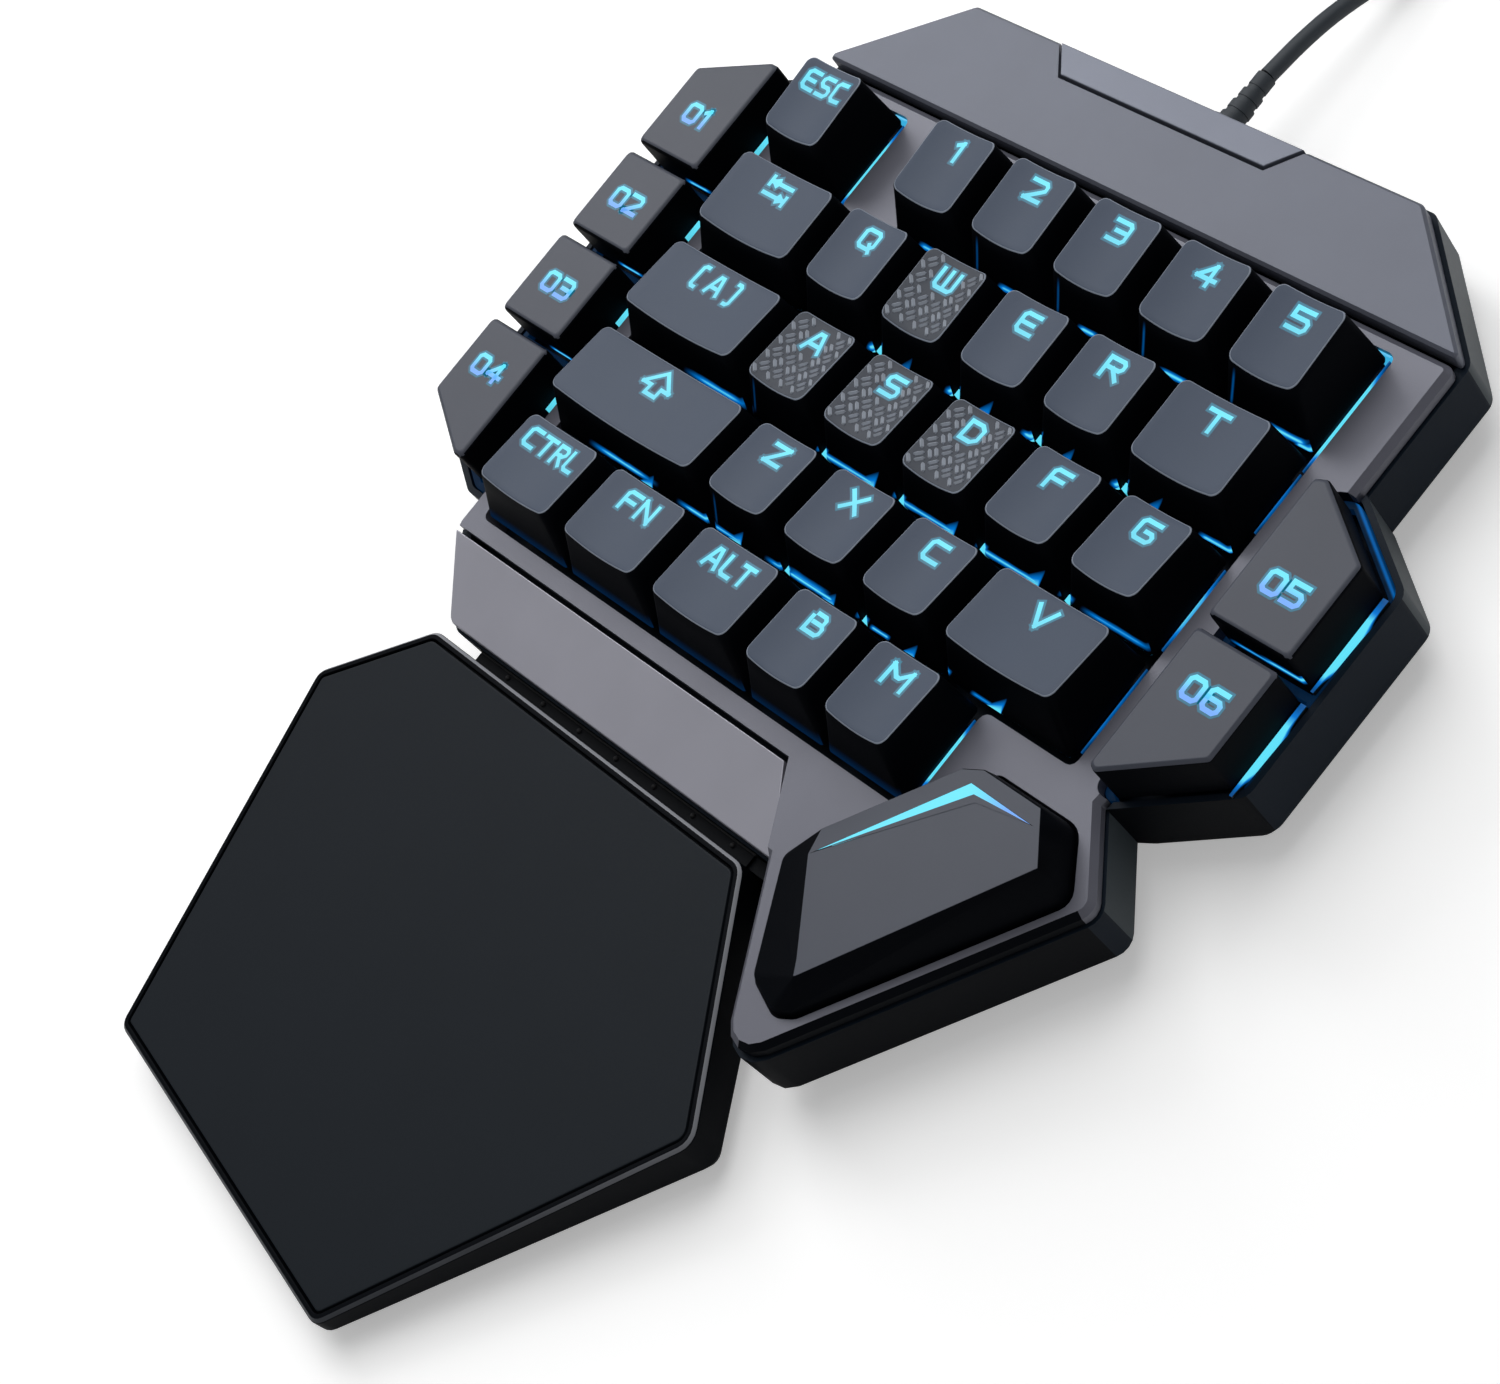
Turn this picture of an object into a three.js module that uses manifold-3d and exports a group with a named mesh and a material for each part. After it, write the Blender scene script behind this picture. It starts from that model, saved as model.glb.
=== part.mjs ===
// A one-handed gaming keypad: a block of sculpted keycaps on plunger switches, a bank of macro
// keys on each side, a thumb key in its own recess, and a palm rest that plugs into the front.
// All sizes are millimetres, with +X to the right, +Y to the back and +Z up. The pieces are
// drawn from the back left corner of the key block, at the height of the keycaps' lower edges.

import * as THREE from 'three';
import { mergeVertices } from 'three/addons/utils/BufferGeometryUtils.js';
import { ConvexGeometry } from 'three/addons/geometries/ConvexGeometry.js';
import Module from 'manifold-3d';

const wasm = await Module();
wasm.setup();

// Key block
const key_pitch = 19.05;
const row_count = 5;
const block_width_share = 6.75;
const block_width = key_pitch * block_width_share;
const block_depth = key_pitch * row_count;

// Each row from the back: key name, left edge and width, as shares of the key pitch.
const key_row_shares = [
  [['esc', 0, 1], ['1', 1.75, 1], ['2', 2.75, 1], ['3', 3.75, 1], ['4', 4.75, 1], ['5', 5.75, 1]],
  [['tab', 0, 1.5], ['q', 1.5, 1], ['w', 2.5, 1], ['e', 3.5, 1], ['r', 4.5, 1], ['t', 5.5, 1.25]],
  [['caps', 0, 1.75], ['a', 1.75, 1], ['s', 2.75, 1], ['d', 3.75, 1], ['f', 4.75, 1], ['g', 5.75, 1]],
  [['shift', 0, 2.25], ['z', 2.25, 1], ['x', 3.25, 1], ['c', 4.25, 1], ['v', 5.25, 1.5]],
  [['ctrl', 0, 1.25], ['fn', 1.25, 1.25], ['alt', 2.5, 1.25], ['b', 3.75, 1], ['m', 4.75, 1]],
];

// Keycaps
const cap_gap = 0.95;
const cap_height = 11;
const cap_height_shares = [1, 0.83, 0.825, 0.885, 0.88];
const cap_tilt_degrees = [3.6, 0.5, -6.2, -7.1, -5.3];
const cap_side_draft = 2.6;
const cap_front_draft = 4.1;
const cap_back_draft = 0.8;
const cap_foot_radius = 0.9;
const cap_top_radius = 2;
const cap_dish_depth = 0.65;
const cap_wall = 1.4;
const cap_top_wall = 1.6;
const dish_steps = 6;

// Switches, their plate and the circuit board
const plate_depth = 6.6;
const plate_thickness = 1.5;
const housing_foot = 13.8;
const housing_top = 9.4;
const housing_drop = 4.7;
const plunger_radius = 2.9;
const plunger_depth = 6.8;
const plunger_clearance = 0.3;
const well_floor = 0.4;
const plunger_sides = 8;
const board_thickness = 1.6;
const stabiliser_spread = 11.9;
const stabiliser_radius = 1.9;
const stabiliser_socket_wall = 1;
const stabilised_width_share = 2;

// Travel of the keys: the housings' wells and the hollows in the caps leave room for it.
const key_travel = 3.8;

// Clearances
const seat_gap = 0.3;
const overrun = 1;

// Case
const board_room = 2.8;
const case_wall = 2;
const case_floor = 2;
const case_chamfer_height = 5;
const case_chamfer_width = 3.5;
const rim_depth = 1.8;
const left_pod_chamfer_widths = [2, 2, 2, 2, 2, 2];
const right_pod_chamfer_widths = [2, 2.2, 3.5, 2.4, 2, 2];
const post_radius = 2.2;
const post_sides = 12;
const post_shares = [[0.148, -0.2], [0.5, -0.2], [0.85, -0.2], [0.3, -0.6], [0.8, -0.6], [0.88, -1.27]];
const board_margin = 6;
const plate_margin = 0.4;
const thumb_tip_index = 6;
const corner_steps = 4;

// The case seen from above. Points of the outlines are shares of the key block's width and depth.
const case_outline_shares = [
  [0.118, 0.252], [0.905, 0.252], [1.078, 0.0525], [1.078, -0.63], [1.0655, -0.8255],
  [1.1502, -0.965], [0.8702, -1.5034], [0.7302, -1.1905], [0.0436, -1.1905], [-0.042, -1.038],
  [-0.042, 0.0567],
];
const case_corner_radii = [2, 2, 3, 0, 0, 3.5, 5, 0, 2.5, 2, 2];

// Key frame: the painted plate round the keys
const frame_thickness = 2.5;
const frame_inset = 0.5;
const frame_bevel = 1;
const well_clearance = 0.45;
const well_corner_radius = 1.5;
const skirt_wall = 1.5;
const web_width = 0.9;
const frame_back_share = 0.0304;
const frame_front_share = -1.0383;
const panel_gap = 0.9;
const frame_corner_radii = [1.5, 0, 0, 3, 5, 0, 2, 2.5, 1.5];
const frame_inset_radii = [2, 2, 3, 0, 0, 3.5, 5, 0, 2.5, 2, 2];

// Rear cover panel and its raised insert
const rear_panel_rise = 1;
const rear_panel_inset = 0.8;
const rear_panel_bevel = 0.5;
const insert_width = 55;
const insert_depth = 5.2;
const insert_slant = 4.4;
const insert_thickness = 1.6;
const insert_groove = 0.5;
const insert_rise = 0.3;
const panel_corner_radius = 1.5;

// Front trim panel, which slopes down to the palm rest
const front_panel_drop = 3;
const front_panel_thickness = 2.2;
const panel_step = 0.3;

// Banks of macro keys, one on each side: outlines, the cuts between keys and the pods round them
const left_bank_shares = [
  [-0.0474, -0.0399], [-0.0645, -0.0399], [-0.1742, -0.1092], [-0.1742, -0.8672],
  [-0.0661, -0.947], [-0.0474, -0.947],
];
const right_bank_shares = [
  [1.0577, -0.7948], [1.0701, -0.8042], [1.1836, -0.6982], [1.1836, -0.3328], [1.0755, -0.2394],
  [1.0577, -0.2478],
];
const left_cut_shares = [-0.2945, -0.4908, -0.6887];
const right_cut_shares = [-0.5218];
const macro_gap = 2.1;
const macro_rise = 7.5;
const macro_foot = 1.5;
const macro_wall = 1.3;
const macro_bevel = 0.6;
const macro_corner_radius = 0.8;
const left_pod_margins = [3, 3, 3, 3, 3, 3];
const right_pod_margins = [3, 1.4, 2.5, 3, 3, 3];
const pod_reach = 12;
const pod_corner_radius = 3;
const pod_rim_wall = 1.1;
const guide_thickness = 1.8;
const guide_drop = 0.3;
const guide_gap = 0.35;

// Thumb key, its recess in the frame and its lit inlay
const thumb_recess_shares = [
  [0.7559, -1.1685], [0.8352, -1.3543], [0.8915, -1.3816], [0.9169, -1.3627], [1.1191, -0.9753],
  [1.0623, -0.8735], [0.9285, -0.8735],
];
const thumb_recess_radii = [2.5, 3, 3, 3, 3, 4, 2];
const thumb_top_shares = [
  [0.8049, -1.1045], [0.9107, -1.3144], [1.0988, -0.9701], [1.0491, -0.8924], [0.9488, -0.8903],
  [0.9208, -0.9071],
];
const thumb_inlay_shares = [
  [0.8243, -1.1307], [0.9666, -0.9375], [1.0444, -0.9228], [0.9457, -0.9197],
];
const thumb_clearance = 0.6;
const thumb_height = 8;
const thumb_side_slope = 0.0888;
const thumb_back_slope = 0.0204;
const thumb_datum_shares = [1.0491, -0.8924];
const thumb_foot = 1.2;
const thumb_shoulder = 1.4;
const thumb_wall = 1.6;
const thumb_top_wall = 1.8;
const thumb_switch_shares = [0.95, -1.09];
const inlay_depth = 0.9;
const inlay_clearance = 0.1;

// Palm rest
const palm_outline_shares = [
  [0.0216, -1.2105], [-0.1174, -1.396], [-0.0227, -2.1079], [0.5608, -2.2351], [0.8671, -1.6105],
  [0.6812, -1.2174],
];
const palm_corner_radii = [3.5, 3, 2.5, 3, 4, 3.5];
const palm_back_depth = 5;
const palm_slope = 0.0693;
const palm_chamfer_height = 2.5;
const palm_chamfer_width = 1.6;
const palm_rim = 1.4;
const palm_bevel = 0.6;
const pad_thickness = 1.6;
const pad_groove = 0.4;

// Bridge and tongues that plug the palm rest into the case
const bridge_left_share = 0.09;
const bridge_right_share = 0.669;
const bridge_top_depth = 8;
const bridge_thickness = 4;
const tongue_count = 3;
const tongue_width = 12;
const tongue_thickness = 2.2;
const tongue_length = 5;
const bridge_root = 4;

// Rubber feet: places as shares of the key block
const foot_height = 2;
const foot_radius = 5;
const foot_recess = 0.8;
const foot_sides = 20;
const case_foot_shares = [[0.03, 0.02], [0.97, 0.02], [0.1, -1.02], [0.92, -1.22]];
const palm_foot_shares = [[0.02, -1.45], [0.7, -1.5], [0.42, -2.05]];

// Cable with its strain relief, coil, tie and plug
const cable_diameter = 3;
const cable_sides = 8;
const cable_place_share = 0.526;
const cable_depth = 9;
const relief_collar_radius = 5.2;
const relief_collar_length = 1.6;
const relief_neck_radius = 3.4;
const relief_root = 1.5;
const relief_waist_share = 0.6;
const relief_tip_radius = 2.5;
const relief_length = 12;
const relief_sides = 16;
const relief_groove_depth = 0.5;
const relief_rings = 4;
const cable_steps = 24;
const cable_route = [
  [0, 0, 0], [0.2, 8, -0.9], [1.5, 20, -4.6], [2.9, 30, -8.2], [4.2, 42, -9.1], [5.2, 52, -8.1],
];
const coil_radius = 20.5;
const coil_pitch = 3.6;
const layer_count = 4;
const turns_in_a_layer = 2.75;
const coil_steps = 24;
const coil_sides = 6;
const climb_turn_share = 0.5;
const gap_fineness = 4;
const tail_reach = 12;
const tail_turn_share = 0.28;
const tail_steps = 12;
const tie_width = 8;
const tie_thickness = 0.8;
const tie_corner = 3;
const tie_clearance = 0.5;
const plug_width = 16;
const plug_height = 8;
const plug_body_length = 34;
const plug_body_radius = 2;
const plug_neck_length = 10;
const plug_neck_radius = 3.4;
const plug_tip_radius = 2.4;
const shell_width = 12;
const shell_height = 4.5;
const shell_length = 12;
const shell_wall = 0.4;
const shell_seat = 3;
const plug_tongue_clearance = 0.3;

// Heights that follow from the sizes above
const plate_top = -plate_depth;
const plate_bottom = plate_top - plate_thickness;
const housing_bottom = plate_top - housing_drop;
const board_top = housing_bottom - seat_gap;
const frame_bottom = -frame_thickness;
const wall_top = frame_bottom - seat_gap;
const case_bottom = board_top - board_thickness - board_room - case_floor;
const case_height = -case_bottom;
const floor_top = case_bottom + case_floor;
const desk = case_bottom - foot_height;
const skirt_bottom = plate_top + seat_gap;

// Colours
const paint = { color: 0x6f707a, roughness: 0.42, metalness: 0.25 };
const keycap_plastic = { color: 0x3c3f47, roughness: 0.6, metalness: 0 };
const black_plastic = { color: 0x0b0d12, roughness: 0.45, metalness: 0 };
const silver_paint = { color: 0x8d8f99, roughness: 0.35, metalness: 0.35 };
const light_guide = { color: 0x37c8f0, roughness: 0.3, metalness: 0 };
const pad_skin = { color: 0x20242a, roughness: 0.75, metalness: 0 };
const rubber = { color: 0x141417, roughness: 0.85, metalness: 0 };
const board_green = { color: 0x123524, roughness: 0.5, metalness: 0 };
const steel = { color: 0xb9bcc2, roughness: 0.3, metalness: 1 };

const keypad = new THREE.Group();
const housed = [];
const on_the_cord = [];

// Solids

function solidOf(geometry) {
  geometry.deleteAttribute('normal');
  geometry.deleteAttribute('uv');
  const merged = mergeVertices(geometry);
  const corners = Array.from(merged.index.array);
  const faces = corners.filter((_, i) => {
    const [a, b, c] = corners.slice(i - i % 3, i - i % 3 + 3);
    return a !== b && b !== c && c !== a;
  });
  return new wasm.Manifold(new wasm.Mesh({
    numProp: 3,
    vertProperties: new Float32Array(merged.attributes.position.array),
    triVerts: new Uint32Array(faces),
  }));
}

function geometryOf(solid) {
  const mesh = solid.getMesh();
  const geometry = new THREE.BufferGeometry();
  geometry.setAttribute('position', new THREE.BufferAttribute(mesh.vertProperties, 3));
  geometry.setIndex(new THREE.BufferAttribute(mesh.triVerts, 1));
  geometry.computeVertexNormals();
  return geometry;
}

function piece(name, solid, finish, list = housed) {
  const mesh = new THREE.Mesh(geometryOf(solid), new THREE.MeshStandardMaterial(finish));
  mesh.name = name;
  keypad.add(mesh);
  list.push(mesh);
  return mesh;
}

function posed(solid, matrix) {
  return solidOf(geometryOf(solid).applyMatrix4(matrix));
}

function placed(solid, x, y, z) {
  return posed(solid, new THREE.Matrix4().makeTranslation(x, y, z));
}

function joined(solids) {
  return solids.reduce((whole, next) => whole.add(next));
}

// Outlines

const onBlock = ([x, y]) => [x * block_width, y * block_depth];
const outlineOf = (shares) => shares.map(onBlock);

function turnsLeft(points) {
  const area = points.reduce((sum, [x, y], i) => {
    const [nx, ny] = points[(i + 1) % points.length];
    return sum + x * ny - nx * y;
  }, 0);
  return area > 0;
}

// The outline moved outwards by one distance, or by one for each side.
function grown(points, distances) {
  const count = points.length;
  const side = turnsLeft(points) ? 1 : -1;
  const away = (i) => (Array.isArray(distances) ? distances[i] : distances);
  const lines = points.map(([x, y], i) => {
    const [nx, ny] = points[(i + 1) % count];
    const length = Math.hypot(nx - x, ny - y);
    const normal = [side * (ny - y) / length, side * (x - nx) / length];
    return { normal, offset: normal[0] * x + normal[1] * y + away(i) };
  });
  return lines.map((b, i) => {
    const a = lines[(i + count - 1) % count];
    const cross = a.normal[0] * b.normal[1] - a.normal[1] * b.normal[0];
    if (Math.abs(cross) < Number.EPSILON) {
      return [points[i][0] + b.normal[0] * away(i), points[i][1] + b.normal[1] * away(i)];
    }
    return [
      (a.offset * b.normal[1] - b.offset * a.normal[1]) / cross,
      (b.offset * a.normal[0] - a.offset * b.normal[0]) / cross,
    ];
  });
}

// The outline with its corners rounded, by one radius or by one for each corner.
function rounded(points, radii, steps = corner_steps) {
  const count = points.length;
  return points.flatMap((corner, i) => {
    const radius = Array.isArray(radii) ? radii[i] : radii;
    if (!radius) return [corner];
    const here = new THREE.Vector2(...corner);
    const back = new THREE.Vector2(...points[(i + count - 1) % count]).sub(here);
    const on = new THREE.Vector2(...points[(i + 1) % count]).sub(here);
    const half = Math.acos(THREE.MathUtils.clamp(
      back.dot(on) / (back.length() * on.length()), -1, 1)) / 2;
    const room = Math.min(back.length(), on.length()) / 2;
    const reach = Math.min(radius / Math.tan(half), room);
    const start = here.clone().addScaledVector(back.normalize(), reach);
    const end = here.clone().addScaledVector(on.normalize(), reach);
    const used = reach * Math.tan(half);
    const middle = here.clone().addScaledVector(
      back.clone().add(on).normalize(), used / Math.sin(half));
    const first = Math.atan2(start.y - middle.y, start.x - middle.x);
    let sweep = Math.atan2(end.y - middle.y, end.x - middle.x) - first;
    sweep -= 2 * Math.PI * Math.round(sweep / (2 * Math.PI));
    return Array.from({ length: steps + 1 }, (_, k) => {
      const angle = first + sweep * k / steps;
      return [middle.x + used * Math.cos(angle), middle.y + used * Math.sin(angle)];
    });
  });
}

function rectangle(x0, y0, x1, y1) {
  return [[x0, y0], [x1, y0], [x1, y1], [x0, y1]];
}

// The part of an outline between two lines across it.
function between(points, low, high) {
  const cut = (outline, keep, limit) => outline.flatMap(([x, y], i) => {
    const [nx, ny] = outline[(i + 1) % outline.length];
    const here = keep(y);
    const made = here ? [[x, y]] : [];
    if (here !== keep(ny)) made.push([x + (nx - x) * (limit - y) / (ny - y), limit]);
    return made;
  });
  return cut(cut(points, (y) => y >= low, low), (y) => y <= high, high);
}

function circle(radius, sides) {
  return Array.from({ length: sides }, (_, i) => {
    const angle = 2 * Math.PI * (i + 0.5) / sides;
    return [radius * Math.cos(angle), radius * Math.sin(angle)];
  });
}

const moved = (points, [dx, dy]) => points.map(([x, y]) => [x + dx, y + dy]);

// A slab on an outline, between two heights that are numbers or follow x and y.
function slab(points, low, high) {
  const outline = turnsLeft(points) ? points : [...points].reverse();
  const shape = new THREE.Shape(outline.map(([x, y]) => new THREE.Vector2(x, y)));
  const geometry = new THREE.ExtrudeGeometry(shape, { depth: 1, bevelEnabled: false });
  const at = geometry.attributes.position;
  const height = (level, x, y) => (typeof level === 'function' ? level(x, y) : level);
  for (let i = 0; i < at.count; i += 1) {
    at.setZ(i, height(at.getZ(i) > 0 ? high : low, at.getX(i), at.getY(i)));
  }
  return solidOf(geometry);
}

// A skin over rings of points, each ring with as many points, closed at both ends.
function loft(rings) {
  const count = rings[0].length;
  const flat = rings[0].map(([x, y]) => new THREE.Vector2(x, y));
  const lid = THREE.ShapeUtils.triangulateShape(flat, []);
  const last = (rings.length - 1) * count;
  const index = [];
  lid.forEach(([a, b, c]) => index.push(a, c, b, last + a, last + b, last + c));
  for (let r = 0; r + 1 < rings.length; r += 1) {
    for (let i = 0; i < count; i += 1) {
      const a = r * count + i;
      const b = r * count + (i + 1) % count;
      index.push(a, b, b + count, a, b + count, a + count);
    }
  }
  const geometry = new THREE.BufferGeometry();
  const points = new Float32Array(rings.flat(2));
  geometry.setAttribute('position', new THREE.BufferAttribute(points, 3));
  geometry.setIndex(index);
  return solidOf(geometry);
}

function ring(points, level) {
  const outline = turnsLeft(points) ? points : [...points].reverse();
  const height = (x, y) => (typeof level === 'function' ? level(x, y) : level);
  return outline.map(([x, y]) => [x, y, height(x, y)]);
}

function hull(rings) {
  return solidOf(new ConvexGeometry(rings.flat().map((p) => new THREE.Vector3(...p))));
}

const insetRounded = (points, radii, inset) => rounded(
  grown(points, -inset),
  Array.isArray(radii) ? radii.map((r) => (r ? Math.max(r - inset, inset / 4) : 0)) : radii,
);

// Keycaps

function plunger(radius, top) {
  return slab(circle(radius / Math.cos(Math.PI / plunger_sides), plunger_sides), -plunger_depth, top);
}

function keycap(width_share, row) {
  const height = cap_height * cap_height_shares[row];
  const tilt = Math.tan(THREE.MathUtils.degToRad(cap_tilt_degrees[row]));
  const half = (width_share * key_pitch - cap_gap) / 2;
  const deep = (key_pitch - cap_gap) / 2;
  const front = cap_front_draft - deep;
  const back = deep - cap_back_draft;
  const middle = (front + back) / 2;
  const top_half = half - cap_side_draft;
  const topAt = (x, y) => height + tilt * (y - middle);
  const foot = rounded(rectangle(-half, -deep, half, deep), cap_foot_radius, 2);
  const crown = rounded(rectangle(-top_half, front, top_half, back), cap_top_radius, 3);
  const outer = hull([ring(foot, 0), ring(crown, topAt)]);

  // A cylindrical dish runs from front to back across the top.
  const bow = (top_half ** 2 + cap_dish_depth ** 2) / (2 * cap_dish_depth);
  const reach = top_half + overrun;
  const arc = Array.from({ length: dish_steps + 1 }, (_, i) => {
    const x = reach * (2 * i / dish_steps - 1);
    return [x, bow - Math.sqrt(bow ** 2 - x ** 2) - cap_dish_depth];
  });
  const dish_shape = new THREE.Shape(
    [[reach, height], ...arc.reverse(), [-reach, height]].reverse()
      .map(([x, z]) => new THREE.Vector2(x, z)),
  );
  const dish = new THREE.ExtrudeGeometry(dish_shape, { depth: 4 * deep, bevelEnabled: false });
  dish.translate(0, 0, -2 * deep).rotateX(Math.PI / 2 + Math.atan(tilt));
  dish.translate(0, middle, height);

  const inner_top = height - cap_top_wall - cap_dish_depth;
  const share = inner_top / height;
  const hollow = hull([
    ring(rectangle(cap_wall - half, cap_wall - deep, half - cap_wall, deep - cap_wall), -overrun),
    ring(rectangle(cap_wall - half, cap_wall - deep, half - cap_wall, deep - cap_wall), 0),
    ring(rectangle(
      cap_wall + cap_side_draft * share - half,
      cap_wall + cap_front_draft * share - deep,
      half - cap_wall - cap_side_draft * share,
      deep - cap_wall - cap_back_draft * share,
    ), (x, y) => inner_top + tilt * (y - middle)),
  ]);
  const shell = outer.subtract(solidOf(dish)).subtract(hollow);
  const seat = inner_top + cap_top_wall / 2;
  if (width_share < stabilised_width_share) return shell.add(plunger(plunger_radius, seat));
  const legs = [-stabiliser_spread, stabiliser_spread].map((x) => slab(
    moved(circle(stabiliser_radius / Math.cos(Math.PI / plunger_sides), plunger_sides), [x, 0]),
    -plunger_depth, seat));
  return joined([shell, plunger(plunger_radius, seat), ...legs]);
}

const switch_places = [];
const stabiliser_places = [];
key_row_shares.forEach((row_keys, row) => row_keys.forEach(([name, start, width]) => {
  const x = (start + width / 2) * key_pitch;
  const y = -(row + 0.5) * key_pitch;
  switch_places.push([x, y]);
  if (width >= stabilised_width_share) {
    stabiliser_places.push([x - stabiliser_spread, y], [x + stabiliser_spread, y]);
  }
  const cap = piece(`key_${name}`, keycap(width, row), keycap_plastic);
  cap.position.set(x, y, 0);
}));

// Macro keys

const left_bank = outlineOf(left_bank_shares);
const right_bank = outlineOf(right_bank_shares);
const bank_lows = (bank) => Math.min(...bank.map(([, y]) => y));
const bank_highs = (bank) => Math.max(...bank.map(([, y]) => y));

function bankKeys(bank, cuts) {
  const edges = [bank_highs(bank) + macro_gap / 2, ...cuts.map((s) => s * block_depth),
    bank_lows(bank) - macro_gap / 2];
  return edges.slice(1).map((low, i) => (
    between(bank, low + macro_gap / 2, edges[i] - macro_gap / 2)));
}

const left_keys = bankKeys(left_bank, left_cut_shares);
const right_keys = bankKeys(right_bank, right_cut_shares);

// A switch stands in the square end of its key, away from a slanted end.
function macroSwitch(outline, slant) {
  const xs = outline.map(([x]) => x);
  const ys = outline.map(([, y]) => y);
  const half = (Math.max(...xs) - Math.min(...xs)) / 2;
  const low = Math.min(...ys);
  const high = Math.max(...ys);
  const y = { back: low + half, front: high - half, none: (low + high) / 2 }[slant];
  return [(Math.max(...xs) + Math.min(...xs)) / 2, y];
}

function macroCap(outline, [x, y]) {
  const own = moved(outline, [-x, -y]);
  const low = rounded(own, macro_corner_radius, 2);
  const high = rounded(grown(own, -macro_bevel), macro_corner_radius, 2);
  const outer = hull([
    ring(low, -macro_foot), ring(low, macro_rise - macro_bevel), ring(high, macro_rise),
  ]);
  const hollow = slab(grown(own, -macro_wall), -macro_foot - overrun, macro_rise - cap_top_wall);
  return outer.subtract(hollow).add(plunger(plunger_radius, macro_rise - cap_top_wall / 2));
}

const macro_slants = ['back', 'none', 'none', 'front', 'back', 'front'];
[...left_keys, ...right_keys].forEach((outline, i) => {
  const place = macroSwitch(outline, macro_slants[i]);
  switch_places.push(place);
  const cap = piece(`macro_key_${i + 1}`, macroCap(outline, place), keycap_plastic);
  cap.position.set(place[0], place[1], 0);
});

// Thumb key

const thumb_recess = outlineOf(thumb_recess_shares);
const thumb_datum = onBlock(thumb_datum_shares);
const thumbTop = (x, y) => thumb_height
  + thumb_side_slope * (x - thumb_datum[0]) + thumb_back_slope * (y - thumb_datum[1]);
const thumb_base = insetRounded(thumb_recess, thumb_recess_radii, thumb_clearance);
const thumb_crown = outlineOf(thumb_top_shares);
const thumb_place = onBlock(thumb_switch_shares);
const inlay_outline = outlineOf(thumb_inlay_shares);
switch_places.push(thumb_place);

const thumb_outer = hull([
  ring(thumb_base, -thumb_foot), ring(thumb_base, thumb_shoulder), ring(thumb_crown, thumbTop),
]);
const thumb_inner = hull([
  ring(grown(thumb_recess, -thumb_clearance - thumb_wall), -thumb_foot - overrun),
  ring(grown(thumb_recess, -thumb_clearance - thumb_wall), 0),
  ring(grown(thumb_crown, -thumb_wall), (x, y) => thumbTop(x, y) - thumb_top_wall),
]);
const thumb_stem = slab(
  moved(circle(plunger_radius / Math.cos(Math.PI / plunger_sides), plunger_sides), thumb_place),
  -plunger_depth, (x, y) => thumbTop(x, y) - thumb_top_wall / 2);
const inlay_floor = (x, y) => thumbTop(x, y) - inlay_depth;
piece('thumb_key', thumb_outer.subtract(thumb_inner).add(thumb_stem)
  .subtract(slab(inlay_outline, inlay_floor, thumb_height + overrun)), keycap_plastic);
piece('thumb_key_light', slab(grown(inlay_outline, -inlay_clearance),
  (x, y) => inlay_floor(x, y) + inlay_clearance, thumbTop), light_guide);

// Case, with a pod for each macro bank and a floor that the posts stand on

const case_outline = outlineOf(case_outline_shares);
const left_pod = grown(left_bank, left_pod_margins);
const right_pod = grown(right_bank, right_pod_margins);

// A pod's outline runs on into the case, so that the two make one wall.
const reaching = (outline, dx) => {
  const edge = dx > 0 ? Math.max(...outline.map(([x]) => x)) : Math.min(...outline.map(([x]) => x));
  return outline.map(([x, y]) => (
    Math.abs(x - edge) < Math.abs(dx) / 4 ? [x + dx, y] : [x, y]));
};
const left_pod_outline = reaching(left_pod, pod_reach);
const right_pod_outline = reaching(right_pod, -pod_reach);
const case_chamfer_widths = case_outline.map(() => case_chamfer_width);

function tub(outline, radii, top, chamfers) {
  const low = rounded(grown(outline, chamfers.map((width) => -width)), radii);
  const high = rounded(outline, radii);
  return loft([
    ring(low, case_bottom), ring(high, case_bottom + case_chamfer_height), ring(high, top),
  ]);
}

// The room inside keeps clear of the chamfer by the thickness of the wall.
function cavity(outline, radii, chamfers) {
  const low = insetRounded(grown(outline, chamfers.map((width) => -width)), radii, case_wall);
  const high = insetRounded(outline, radii, case_wall);
  return loft([
    ring(low, floor_top), ring(high, case_bottom + case_chamfer_height), ring(high, overrun),
  ]);
}

const bodies = joined([
  tub(case_outline, case_corner_radii, wall_top, case_chamfer_widths),
  tub(left_pod_outline, pod_corner_radius, -rim_depth, left_pod_chamfer_widths),
  tub(right_pod_outline, pod_corner_radius, -rim_depth, right_pod_chamfer_widths),
]);
const frame_footprint = slab(rounded(case_outline, case_corner_radii), wall_top, overrun);
const inner_room = joined([
  cavity(case_outline, case_corner_radii, case_chamfer_widths),
  cavity(left_pod_outline, pod_corner_radius, left_pod_chamfer_widths),
  cavity(right_pod_outline, pod_corner_radius, right_pod_chamfer_widths),
]);

const pod_opening = (pod) => slab(insetRounded(pod, pod_corner_radius, pod_rim_wall), plate_top, overrun);


const board_outline = grown(case_outline, -board_margin);
const plate_outline = insetRounded(case_outline, case_corner_radii, case_wall + plate_margin);
const posts = outlineOf(post_shares);

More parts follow.
